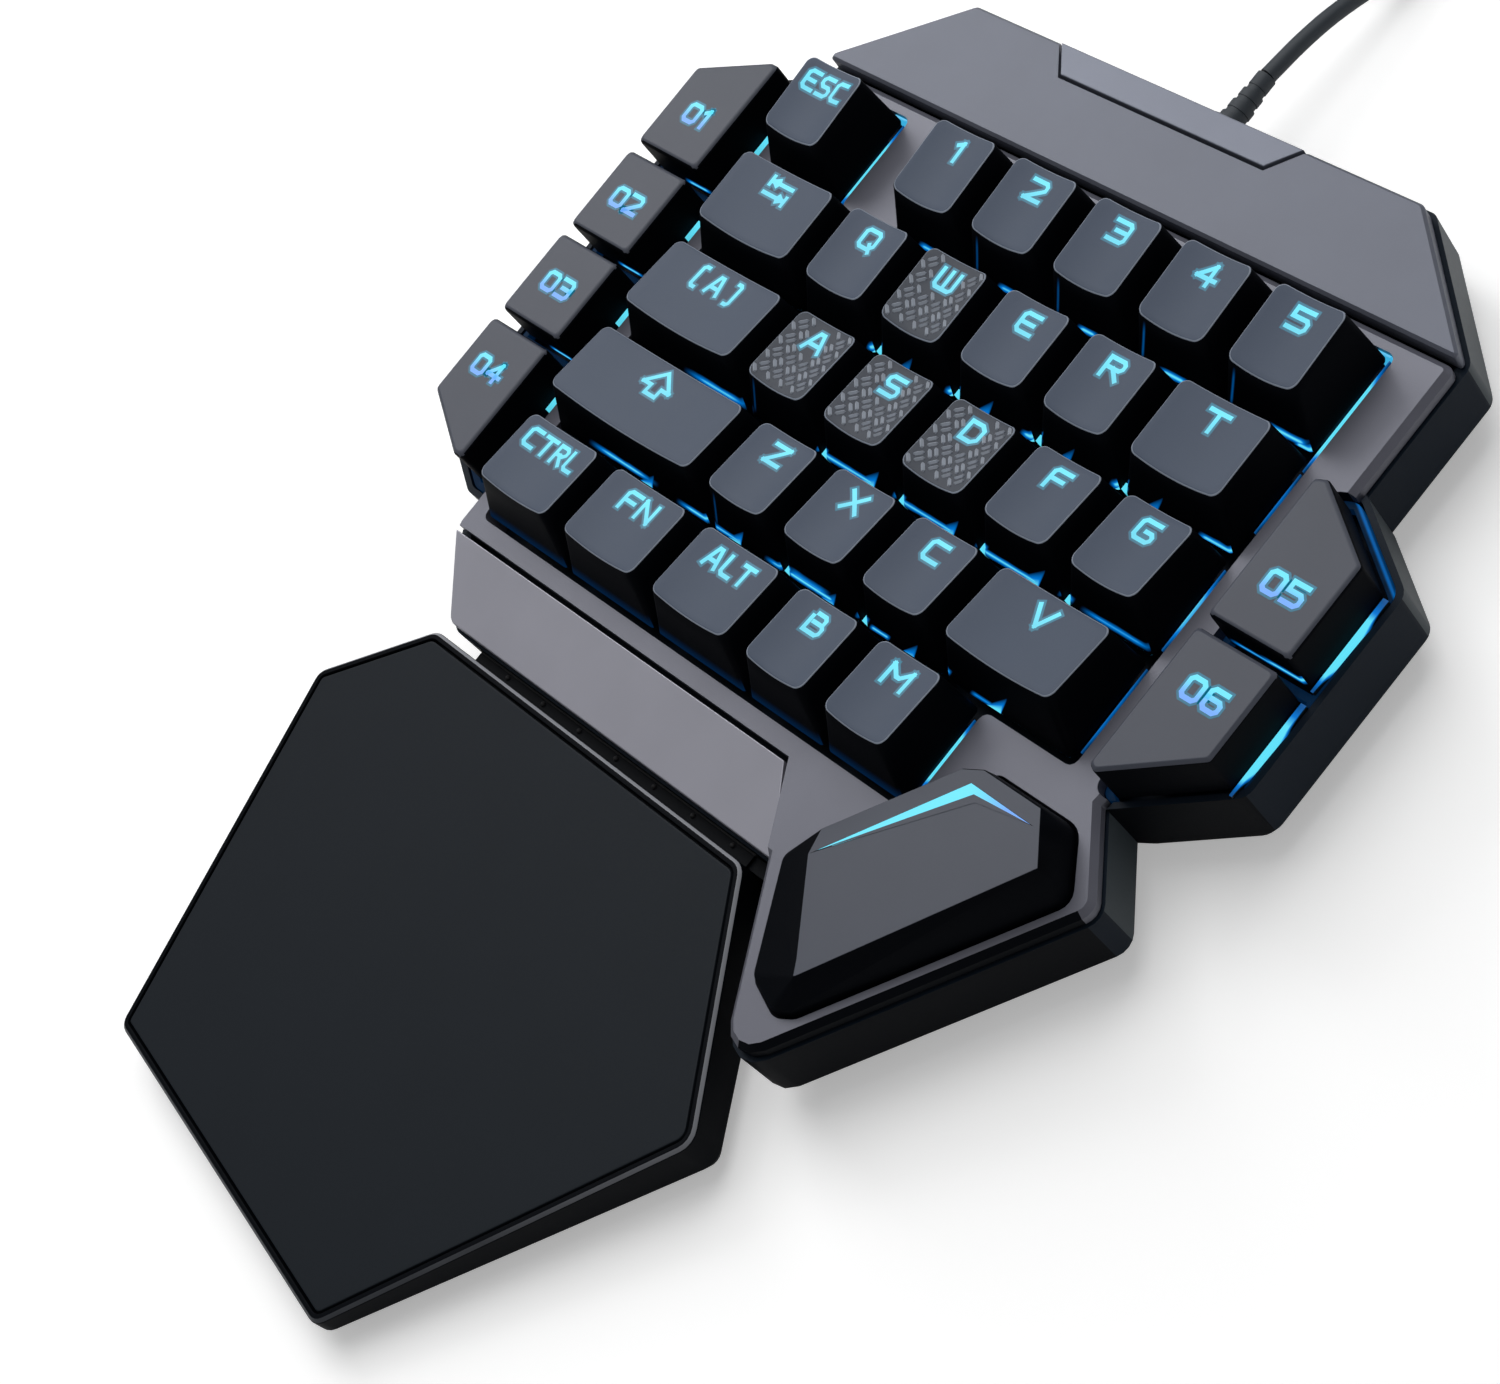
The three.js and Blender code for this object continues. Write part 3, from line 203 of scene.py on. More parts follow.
def new_material(name):
    """An empty material, with its shader and its place."""
    material = bpy.data.materials.new(name)
    material.use_nodes = True
    return (material, *opened(material))


def feed(shader, name, value):
    """Sets a shader input, to a plain value or to what a Flow carries."""
    if isinstance(value, Flow):
        value.tree.links.new(value.socket, shader.inputs[name])
    else:
        shader.inputs[name].default_value = value


def block_place(place):
    """The place's x, y and z in block millimetres."""
    return [part * (1 / MM) - origin for part, origin in zip(place.parts(), BLOCK_ORIGIN)]


def grain(place, size, detail=3.0):
    """Noise with patches of about this size, in millimetres."""
    return place.node(
        "ShaderNodeTexNoise", {},
        {"Vector": place, "Scale": 1.0 / (size * MM), "Detail": detail},
    )


def mixed_colours(share, first, second):
    """Two colours, or Flows that carry colours, mixed by a Flow."""
    made = share.tree.nodes.new("ShaderNodeMix")
    made.data_type = "RGBA"
    for slot, value in ((0, share), (6, first), (7, second)):
        if isinstance(value, Flow):
            share.tree.links.new(value.socket, made.inputs[slot])
        else:
            made.inputs[slot].default_value = value
    return Flow(share.tree, made.outputs[2])


def shade(colour, factor):
    return tuple(min(1.0, c * factor) for c in colour[:3]) + (1.0,)


def moulded(name, colour, roughness, *, metallic=0.0, grain_size=0.35, grain_depth=0.006,
            specular=0.5):
    """A moulded or painted surface: fine grain, slightly uneven colour and gloss."""
    material, shader, place = new_material(name)
    cloud = grain(place, CLOUD_SIZE)
    fine = grain(place, grain_size, 2.0)
    feed(shader, "Base Color", mixed_colours(
        cloud, shade(colour, 1 - WANDER), shade(colour, 1 + WANDER)))
    feed(shader, "Roughness", (roughness - WANDER / 2) + fine * WANDER)
    feed(shader, "Metallic", metallic)
    feed(shader, "Specular IOR Level", specular)
    feed(shader, "Normal", fine.node(
        "ShaderNodeBump", {}, {"Height": fine, "Distance": grain_depth * MM, "Strength": 1.0}))
    return material


KEYCAP_TOP = moulded("keycap_top", (0.046, 0.068, 0.114), 0.5, specular=0.36)
# A light grey on the first rings of each cap's round edge: a painted highlight.
KEYCAP_EDGE_HIGHLIGHT = moulded("keycap_edge_highlight", (0.26, 0.3, 0.37), 0.45, specular=0.4)
# The four treaded keys have a darker top, painted shade between the ridges, and ridges of light
# grey, a painted highlight.
TREAD_GROUND_SHADE = moulded("tread_ground_shade", (0.024, 0.033, 0.052), 0.5, specular=0.4)
TREAD_RIDGE_HIGHLIGHT = moulded("tread_top", (0.41, 0.45, 0.52), 0.4)
# Near black on the walls of keycaps and side keys: painted shade, against their lighter tops.
SHADED_WALL = {"colour": (0.0018, 0.0026, 0.0045), "roughness": 0.55, "specular": 0.04}
KEYCAP_SIDE_SHADE = moulded("keycap_side_shade", **SHADED_WALL)
KEY_TOP = moulded("side_key_top", (0.072, 0.08, 0.106), 0.5, specular=0.4)
CASE_BLACK = moulded(
    "case_black", (0.0065, 0.0125, 0.022), 0.45, grain_size=0.5, specular=0.1)
REST_BLACK = moulded(
    "rest_black", (0.002, 0.003, 0.005), 0.5, grain_size=0.5, specular=0.06)
# A lighter slate on the case wall at the back right: painted light.
CASE_LIT_SLATE = moulded("case_lit_slate", (0.06, 0.075, 0.085), 0.45, grain_size=0.5, specular=0.2)
# A light grey on the frame's slanted edge: a painted highlight.
FRAME_EDGE_HIGHLIGHT = moulded("frame_edge_painted_light", (0.3, 0.3, 0.33), 0.4, metallic=0.25, grain_size=0.2)
FRAME_PAINT = moulded("frame_paint", (0.141, 0.145, 0.18), 0.4, metallic=0.25, grain_size=0.2)
REAR_PAINT = moulded("rear_paint", (0.131, 0.142, 0.18), 0.46, metallic=0.25, grain_size=0.2)
INSERT_PAINT = moulded(
    "insert_paint", (0.16, 0.174, 0.22), 0.42, metallic=0.3, grain_size=0.2)
TRIM_PAINT = moulded("trim_paint", (0.4, 0.4, 0.46), 0.36, metallic=0.3, grain_size=0.2)
PAD_SKIN = moulded(
    "pad_skin", (0.0105, 0.0145, 0.02), 0.58, grain_size=0.6, grain_depth=0.01, specular=0.17)
CABLE_SKIN = moulded("cable_skin", (0.032, 0.041, 0.052), 0.6, grain_size=0.5)
RUBBER = moulded("rubber", (0.014, 0.014, 0.016), 0.75, grain_size=0.5, grain_depth=0.012)
STRAP = moulded("strap_rubber", (0.02, 0.02, 0.022), 0.8, grain_size=0.4, grain_depth=0.02)
STEEL = moulded("plug_steel", (0.6, 0.61, 0.63), 0.28, metallic=1.0, grain_size=0.3)
BOARD = moulded("board_green", (0.012, 0.06, 0.03), 0.35, grain_size=0.8)
print("plain finishes:", len(bpy.data.materials))

# %% [markdown]
# The light comes from diodes under the keys. What the eye sees is where it gets out: through
# the cut legends and through the gaps. A lit surface is black plastic that also emits, and how
# much it emits may change from place to place.

# %% Lit surfaces
CYAN = (0.12, 0.76, 0.96, 1.0)
BLUE = (0.0, 0.185, 0.66, 1.0)
LAVENDER = (0.14, 0.36, 0.92, 1.0)
DARK = (0.0, 0.0, 0.0, 1.0)
LIT_BASE = (0.01, 0.03, 0.04, 1.0)
CLEAR_BASE = (0.004, 0.01, 0.014, 1.0)


def glowing(shader, light, base=None):
    """The shader gives off this light, over a base colour of its own."""
    if base:
        feed(shader, "Base Color", base)
    feed(shader, "Emission Color", light)
    feed(shader, "Emission Strength", 1.0)


def band(value, low, high, soft):
    """1 between low and high, 0 outside, with soft ends."""
    return value.step(low - soft, low + soft) * value.step(high + soft, high - soft)


def glow_colour(strength):
    """Black, deep blue, then bright cyan, as a Flow of strength rises from 0 to 1."""
    return strength.node(
        "ShaderNodeValToRGB",
        {"stops": ((0.0, DARK), (0.3, shade(BLUE, 0.45)), (0.62, BLUE), (1.0, CYAN))},
        {"Fac": strength})


def lit(name, first, second=None, *, axis=1, low=0.15, high=0.85, base=LIT_BASE, specular=0.5):
    """A surface that glows, from one colour to the other: first where the axis runs high."""
    material, shader, place = new_material(name)
    ramp = place.node("ShaderNodeTexCoord", output="Generated").parts()[axis].step(low, high)
    glowing(shader, mixed_colours(
        (ramp * (grain(place, 1.5) * 0.4 + 0.85)).clamped(), second or shade(first, 0.85), first),
        base)
    feed(shader, "Roughness", 0.4)
    feed(shader, "Specular IOR Level", specular)
    return material


LEGEND_LIGHT = lit("legend_light", CYAN)
THUMB_LIGHT = lit("thumb_light", LAVENDER, CYAN, axis=0, low=0.55, high=0.9)
NUMBER_LIGHT = lit("number_light", CYAN, LAVENDER)
LEGEND_HALO = lit("legend_halo", (0.0, 0.13, 0.22, 1.0))
print("lit finishes: legend, thumb inlay, number, halo")

# %% [markdown]
# Light from below that spills on the feet of the keycaps' front walls is painted on as a glow.
# It isn't even: a thin bright line where the gap in front is open, a brighter head where a line
# begins, and a blue peak that climbs the wall where it ends, beside the corner of the cap in
# front.
# A faint streak on the round corner of some walls is a painted reflection. Each row lists its
# own.

# %% Front walls with spilled light
LEAN = 0.74     # how far a line leans over, per millimetre of height
HAZE_TOP = 2.6  # the height to which a haze reaches
PEAK = {"gain": 1.35, "past": 0.4, "before": 0.5}
STREAK = {"lean": 0.3, "width": 0.3, "soft": 0.25, "foot": (1.0, 3.0), "head": (9.5, 6.5)}


def spilled(name, lines, peaks=(), streaks=(), haze=0.0):
    """A keycap's wall in painted shade, with painted light along its foot. All places are in
    block millimetres.

    A line is its two ends, their softness, its level, its half thickness and its strength. A
    peak is its steep end, width, height and strength. A streak is its place and its strength.
    """
    material = moulded(name, **SHADED_WALL)
    shader, place = opened(material)
    across, _, height = block_place(place)
    lean = across - height * LEAN
    wander = grain(place, 3.0, 1.0) * 0.5 + 0.75
    power = height.step(HAZE_TOP, 0.0) * haze
    for start, end, soft, level, half, strength in lines:
        off = (height - level).maths("ABSOLUTE", height - level) / (wander * half)
        line = (1 - off).clamped() * band(lean, start, end, soft)
        power = power.maths("MAXIMUM", power, line * strength)
    for end, wide, high, strength in peaks:
        steep = lean.step(end + PEAK["past"], end - PEAK["before"])
        rise = (1 - (end - lean) / wide).clamped() * steep
        share = (height / (rise * high + 0.01)).clamped()
        power = power.maths("MAXIMUM", power, (1 - share) * (strength * PEAK["gain"]))
    for start, strength in streaks:
        streak = band(across - height * STREAK["lean"], start, start + STREAK["width"],
                      STREAK["soft"])
        streak = streak * height.step(*STREAK["foot"]) * height.step(*STREAK["head"])
        power = power.maths("MAXIMUM", power, streak * strength)
    glowing(shader, glow_colour(power.clamped()))
    return material


KEYCAP_FRONTS = [
    spilled(
        "keycap_front_1",
        ((40.0, 42.8, 0.9, 0.85, 0.9, 0.95), (59.3, 62.2, 0.9, 0.85, 0.9, 0.9),
         (77.8, 81.2, 0.9, 0.95, 0.9, 1.1), (96.0, 101.0, 1.1, 0.95, 0.9, 1.1),
         (118.8, 125.6, 1.0, 1.15, 0.9, 1.1), (124.6, 128.3, 0.6, 0.5, 0.9, 1.1)),
        streaks=((53.9, 0.2), (72.9, 0.22), (92.0, 0.31), (111.0, 0.29))),
    spilled(
        "keycap_front_2",
        ((45.0, 47.6, 0.6, 0.95, 0.9, 1.1), (64.2, 66.6, 0.7, 0.95, 0.9, 1.1),
         (82.2, 85.7, 0.9, 0.95, 0.9, 1.1), (102.2, 104.8, 0.8, 0.95, 0.9, 1.1),
         (121.4, 128.2, 1.0, 0.5, 0.8, 1.05)),
        ((47.7, 1.6, 4.4, 1.0), (66.7, 1.6, 4.4, 1.0), (85.8, 1.8, 4.6, 1.0),
         (104.8, 1.8, 4.6, 1.0), (55.0, 2.4, 4.4, 0.38), (74.1, 2.8, 4.9, 0.56),
         (92.8, 2.4, 4.4, 0.44), (111.9, 2.4, 4.4, 0.48))),
    spilled(
        "keycap_front_3",
        ((18.5, 31.0, 3.6, 1.3, 1.0, 0.95), (50.4, 52.6, 0.4, 1.65, 1.1, 1.25),
         (52.4, 64.3, 0.6, 1.05, 0.85, 1.0), (69.4, 71.6, 0.5, 1.65, 1.1, 1.2),
         (71.4, 83.3, 0.6, 1.05, 0.85, 0.95), (88.9, 90.8, 0.5, 1.65, 1.1, 1.2),
         (90.6, 102.6, 0.6, 1.05, 0.85, 1.0), (107.6, 109.9, 0.7, 1.75, 1.0, 0.95),
         (114.0, 126.0, 2.2, 1.35, 0.8, 0.76)),
        ((64.8, 4.0, 5.25, 0.78), (83.8, 3.6, 4.92, 0.76), (103.1, 4.2, 5.41, 0.8)),
        ((34.9, 0.12),)),
    spilled(
        "keycap_front_4",
        ((11.5, 25.0, 3.2, 1.75, 0.95, 1.0), (35.0, 42.6, 2.2, 1.05, 0.85, 1.05),
         (43.4, 49.6, 0.6, 0.85, 0.8, 0.9), (57.5, 62.0, 1.6, 1.05, 0.8, 0.9),
         (60.6, 62.3, 0.5, 1.75, 1.0, 1.2), (62.4, 73.0, 0.8, 1.15, 0.85, 1.1),
         (62.6, 71.0, 1.4, 1.7, 1.3, 0.7), (79.0, 81.2, 0.6, 1.65, 1.0, 1.1),
         (82.6, 86.6, 0.5, 0.85, 0.75, 1.0), (99.3, 100.4, 0.4, 1.95, 0.9, 0.8),
         (106.2, 110.4, 0.7, 0.75, 0.7, 0.7)),
        ((26.5, 3.2, 4.26, 0.74), (50.1, 3.2, 4.76, 0.76), (73.5, 3.0, 4.1, 0.64),
         (92.7, 2.4, 4.59, 0.62), (112.4, 3.0, 5.58, 0.9)),
        ((44.2, 0.15),)),
    spilled("keycap_front_5", (), haze=0.045)]
SIDE_KEY_FRONT = spilled(
    "side_key_front",
    ((-13.6, -7.9, 1.2, -0.4, 1.2, 1.1), (138.0, 147.0, 1.5, 0.5, 0.9, 0.85),
     (144.0, 152.6, 2.0, 0.9, 1.3, 1.1)))
print("front walls:", len(KEYCAP_FRONTS))

# %% [markdown]
# Many pieces have the right form in the frame already and only lack the small round that every
# moulded edge has. That round catches the light and tells the eye how big the thing is. The
# piece is a copy of the solid: flat areas become single faces, sharp edges get a small round,
# and the normals are weighted by area, so flats stay flat and only the rounds shade.

# %% Dressing a solid
WELD = 0.002      # points nearer than this become one, in millimetres
FLAT_TURN = 0.5   # faces that turn less than this become one, in degrees


def link(data, name):
    made = bpy.data.objects.new(name, data)
    bpy.context.scene.collection.objects.link(made)
    return made


def settle(mesh, body, replaced=()):
    """A piece that rides on its body and stands for these solids."""
    piece = link(mesh, mesh.name)
    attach(piece, body)
    if replaced:
        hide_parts(*replaced)
    return piece


def finished(bm, name, *materials):
    """The mesh that was built up in bm, with its materials."""
    mesh = bpy.data.meshes.new(name)
    bm.to_mesh(mesh)
    bm.free()
    for material in materials:
        mesh.materials.append(material)
    return mesh


def smooth(mesh, angle=40.0):
    """Smooth shading that breaks only at edges sharper than the angle."""
    sharp = math.radians(angle)
    bm = bmesh.new()
    bm.from_mesh(mesh)
    for face in bm.faces:
        face.smooth = True
    for edge in bm.edges:
        if len(edge.link_faces) == 2:
            edge.smooth = edge.calc_face_angle() < sharp
    bm.to_mesh(mesh)
    bm.free()


def box_mesh(name, low, high, material):
    """A box between two corners, in block millimetres."""
    bm = bmesh.new()
    bmesh.ops.create_cube(bm, size=1.0)
    for vert in bm.verts:
        share = [0.5 + c for c in vert.co]
        vert.co = world(*(a + (b - a) * t for a, b, t in zip(low, high, share)))
    return finished(bm, name, material)


def dressed(node, name, material, *, edge=0.25, steps=2, turn=32.0, body="base"):
    """A copy of a solid with its sharp edges rounded by so many millimetres."""
    mesh = nodes[node].data.copy()
    mesh.name = name
    mesh.materials.clear()
    mesh.materials.append(material)
    bm = bmesh.new()
    bm.from_mesh(mesh)
    bmesh.ops.remove_doubles(bm, verts=bm.verts, dist=WELD * MM)
    bmesh.ops.dissolve_limit(
        bm, angle_limit=math.radians(FLAT_TURN), verts=bm.verts, edges=bm.edges)
    limit = math.radians(turn)
    sharp = [e for e in bm.edges if len(e.link_faces) == 2 and e.calc_face_angle() > limit]
    bmesh.ops.bevel(
        bm, geom=sharp, offset=edge * MM, segments=steps, profile=0.5, affect="EDGES",
        clamp_overlap=True)
    bm.to_mesh(mesh)
    bm.free()
    smooth(mesh)
    piece = settle(mesh, body, (node,))
    piece.modifiers.new("flats", "WEIGHTED_NORMAL").keep_sharp = True
    return piece


frame_plate = dressed("top_frame", "frame_plate", FRAME_PAINT)
dressed("rear_panel", "rear_cover", REAR_PAINT)
dressed("rear_insert", "rear_plate", INSERT_PAINT)
dressed("front_panel", "front_cover", TRIM_PAINT)
lower_case = dressed("bottom_case", "lower_case", CASE_BLACK, edge=0.4)
rest_shell = dressed(
    "palm_rest_base", "rest_shell", REST_BLACK, edge=0.4, body="palm_rest")
rest_pad = dressed(
    "palm_rest_pad", "rest_pad", PAD_SKIN, edge=0.35, body="palm_rest")
print("dressed the case, the frame, the panels and the palm rest")

# %% [markdown]
# The rim round the palm rest's pad carries a painted highlight along its edge: the faces of the
# small round up there take a lighter colour, strongest at the back and darker towards the front.

# %% Painted highlight on the palm rest's edge
RIM = {"front": -200.0, "back": -112.0, "dark": (0.055, 0.06, 0.07, 1.0),
       "bright": (0.31, 0.32, 0.35, 1.0), "reach": 0.55, "turn": (0.25, 0.97)}


def rim_highlight():
    """A painted highlight: grey that grows darker towards the front."""
    material = moulded("rim_highlight_edge", (0.1, 0.1, 0.1), 0.4, specular=0.3)
    shader, place = opened(material)
    _, along, _ = block_place(place)
    share = (along.step(RIM["front"], RIM["back"]) + grain(place, 12.0) * 0.3 - 0.15).clamped()
    feed(shader, "Base Color", mixed_colours(share, RIM["dark"], RIM["bright"]))
    return material


rest_shell.data.materials.append(rim_highlight())
pad_top = max(rest_pad.data.polygons, key=lambda face: face.area * (face.normal.z > 0.5))
highlight_faces = []
for face in rest_shell.data.polygons:
    away = face.center - pad_top.center
    lift = away.dot(pad_top.normal)
    turned = RIM["turn"][0] < face.normal.dot(pad_top.normal) < RIM["turn"][1]
    if abs(lift) < RIM["reach"] * MM and turned:
        if face.normal.dot(away - pad_top.normal * lift) > 0:
            face.material_index = 1
            highlight_faces.append(face)
print("faces of the bright edge:", len(highlight_faces))

# %% [markdown]
# Some walls take a second colour, chosen by where they look, as painted light and shade. The palm
# rest's moulding is a deeper black than the case; the case walls that look to the front take it
# too, as painted shade. The wall at the back right is a lighter slate, painted light. The frame's
# edge above the thumb key's wing is painted black below, standing for the black case under it and
# for painted shade, with a painted highlight where it turns over into the top.

# %% Walls with painted light and shade
EDGE_LOOK = {"slant": -0.68, "least": -0.06, "bright": 0.75, "top": 0.985}


def paint_faces(piece, chosen, *materials):
    """Adds materials to a piece. What chosen says of a face's normal is its material's number."""
    for material in materials:
        piece.data.materials.append(material)
    for face in piece.data.polygons:
        face.material_index = chosen(face.normal) or face.material_index
    return sum(face.material_index > 0 for face in piece.data.polygons)


def case_wall_light_and_shade(normal):
    """The wall that looks right and back takes a lighter slate, painted light; those that look to
    the front take painted shade.
    """
    return 2 if normal.x > 0.5 and normal.y > 0.25 else int(normal.y < -0.5)


def frame_edge_painted_light(normal):
    """The edge that looks right and forwards, by how far it has turned up: painted black low
    down, a painted highlight higher up.
    """
    outwards = normal.y < EDGE_LOOK["slant"] * normal.x < EDGE_LOOK["least"]
    if outwards and 0.0 <= normal.z < EDGE_LOOK["top"]:
        return 1 if normal.z < EDGE_LOOK["bright"] else 2
    return 0


print("case walls:", paint_faces(lower_case, case_wall_light_and_shade, REST_BLACK, CASE_LIT_SLATE))
print("frame edges:", paint_faces(frame_plate, frame_edge_painted_light, REST_BLACK, FRAME_EDGE_HIGHLIGHT))

# %% [markdown]
# A soft lip closes the slit between the palm rest and the case, and a row of small knobs stands
# on the ledge in front of it. They are the heads of the pins that guide the palm rest. A short
# arm fills the corner between the palm rest and the wing of the case that carries the thumb key.

# %% Lip and knobs of the palm rest
LEDGE = {"back": -113.72, "slit": 0.3, "top": -8.1, "depth": 1.5, "knobs": 7, "first": 20.4,
         "pitch": 10.15, "radius": 0.5, "out": 0.75, "up": 0.1}
CORNER = (78.0, -115.9, -19.0), (93.2, -113.6, -8.6)
edge_x = [v.co.x / MM - BLOCK_ORIGIN.x for v in rest_shell.data.vertices
          if v.co.y / MM - BLOCK_ORIGIN.y > LEDGE["back"] - 0.3]
lip = box_mesh("rest_lip", (min(edge_x), LEDGE["back"], LEDGE["top"] - LEDGE["depth"]),
               (max(edge_x), LEDGE["back"] + LEDGE["slit"], LEDGE["top"]), RUBBER)
settle(lip, "palm_rest")
bm = bmesh.new()
for index in range(LEDGE["knobs"]):
    spot = world(LEDGE["first"] + index * LEDGE["pitch"], LEDGE["back"] - LEDGE["out"],
                 LEDGE["top"] + LEDGE["up"])
    bmesh.ops.create_uvsphere(
        bm, u_segments=12, v_segments=8, radius=LEDGE["radius"] * MM,
        matrix=Matrix.Translation(spot))
bm.verts.index_update()
for parts in (bm.edges, bm.faces):  # a sphere's edges and faces come in any order; this fixes one
    parts.sort(key=lambda part: sum(math.sin(vert.index) for vert in part.verts))
knobs = finished(bm, "rest_knobs", RUBBER)
smooth(knobs)
settle(knobs, "palm_rest")
settle(box_mesh("rest_corner", *CORNER, REST_BLACK), "palm_rest")
print("lip from", round(min(edge_x), 1), "to", round(max(edge_x), 1), "and", LEDGE["knobs"],
      "knobs")

# %% [markdown]
# What is hidden needs no finer form. The switch plate, the board and the feet keep their solids
# and only take a finish.

# %% Finishes of the solids that stay as they are
STAYING = {"switch_plate": CASE_BLACK, "circuit_board": BOARD}
for index in range(1, 5):
    STAYING[f"case_foot_{index}"] = RUBBER
for index in range(1, 4):
    STAYING[f"palm_rest_foot_{index}"] = RUBBER
for node, material in STAYING.items():
    nodes[node].data.materials.clear()
    nodes[node].data.materials.append(material)
print("solids with a new finish:", len(STAYING))

# %% [markdown]
# A keycap is a tapered box with a shallow groove across its top, made by one steel tool. Its
# sides lean in, most at the front, and each row has its own height and tilt, so that the tops
# together form a bowl for the fingers. The mesh is a stack of rings: up the wall, round the
# edge, and inwards over the top, where the height comes from one formula.

# %% The form of a keycap
CAP = {
    "gap": 0.95, "height": 11.0, "rows": (1.0, 0.83, 0.825, 0.885, 0.88),
    "tilts": (3.6, 0.5, -6.2, -7.1, -5.3), "side": 2.2, "front": 4.05, "back": 0.35,
    "foot_radius": 0.9, "top_radius": 1.45, "dish": 0.85, "edge": 0.32, "wall": 1.4, "bow": 0.3,
    "roof": 2.4,
}
CORNER_STEPS, SIDE_STEPS, EDGE_STEPS = 6, (12, 5), 4
WALL_LEVELS = (0.02, 0.25, 0.5, 0.75, 1.0)       # rings up the wall, as shares of its height
TOP_SHARES = (0.84, 0.7, 0.52, 0.34, 0.16, 0.05)  # rings on the top, as shares of the outline
FRONT_SLOPE = -0.6  # walls that look to the front more than this catch the light
TREADED = "wasd"


def rounded_ring(x0, x1, y0, y1, radius):
    """Points round a rectangle with round corners, from the back right corner leftwards."""
    radius = max(0.05, min(radius, (x1 - x0) / 2 - 0.02, (y1 - y0) / 2 - 0.02))
    ring = []
    for turn, (cx, cy) in enumerate(((x1, y1), (x0, y1), (x0, y0), (x1, y0))):
        mx = cx - radius if cx == x1 else cx + radius
        my = cy - radius if cy == y1 else cy + radius
        for i in range(CORNER_STEPS + 1):
            angle = math.radians(90 * (turn + i / CORNER_STEPS))
            ring.append((mx + radius * math.cos(angle), my + radius * math.sin(angle)))
        length = (x1 - x0 if turn % 2 == 0 else y1 - y0) - 2 * radius
        ahead = math.radians(90 * (turn + 2))
        count = SIDE_STEPS[turn % 2]
        last = ring[-1]
        for i in range(1, count):
            ring.append((last[0] + math.cos(ahead) * length * i / count,
                         last[1] + math.sin(ahead) * length * i / count))
    return ring


class CapForm:
    """The sizes of one keycap, in millimetres about the middle of its foot."""

    def __init__(self, width, row):
        self.height = CAP["height"] * CAP["rows"][row]
        self.slope = math.tan(math.radians(CAP["tilts"][row]))
        self.half = (width * KEY_PITCH - CAP["gap"]) / 2
        self.deep = (KEY_PITCH - CAP["gap"]) / 2
        self.front = CAP["front"] - self.deep
        self.back = self.deep - CAP["back"]
        self.middle = (self.front + self.back) / 2
        self.top_half = self.half - CAP["side"]
        self.foot = rounded_ring(
            -self.half, self.half, -self.deep, self.deep, CAP["foot_radius"])
        self.crown = rounded_ring(
            -self.top_half, self.top_half, self.front, self.back, CAP["top_radius"])

    def uncut(self, y):
        """Height of the top before the groove is cut."""
        return self.height + self.slope * (y - self.middle)

    def top(self, x, y):
        """Height of the top at a place."""
        return self.uncut(y) - CAP["dish"] * max(0.0, 1 - (x / self.top_half) ** 2)

    def wall(self, level, drop=0.0):
        """The ring round the wall at a share of its height, less a drop from the edge.

        The groove cuts the front wall lower down, where it stands further out, and the front
        is bowed a little as well, so the front edge is a curve from above too.
        """
        ring = []
        for (foot_x, foot_y), (x, y) in zip(self.foot, self.crown):
            share = level * (self.top(x, y) - drop) / self.uncut(y)
            x, high = foot_x + (x - foot_x) * share, self.uncut(y) * share
            y = foot_y + (y - foot_y) * share
            frontal = max(0.0, (self.middle - y) / (self.middle - self.front))
            y -= CAP["bow"] * share ** 2 * frontal * max(0.0, 1 - (x / self.half) ** 2)
            ring.append((x, y, high))
        return ring


def skin(bm, rings):
    """Quads between rings of points, the last ring closed by a fan."""
    loops = [[bm.verts.new(point) for point in ring] for ring in rings]
    faces = []
    for low, high in zip(loops, loops[1:]):
        for i in range(len(low)):
            j = (i + 1) % len(low)
            faces.append(bm.faces.new((low[i], low[j], high[j], high[i])))
    return faces + [bm.faces.new(loops[-1])]


def shrunk(ring, share_x, share_y, middle):
    """The places of a ring, drawn together about a middle on the centre line."""
    return [(x * share_x, middle + (y - middle) * share_y) for x, y, _ in ring]


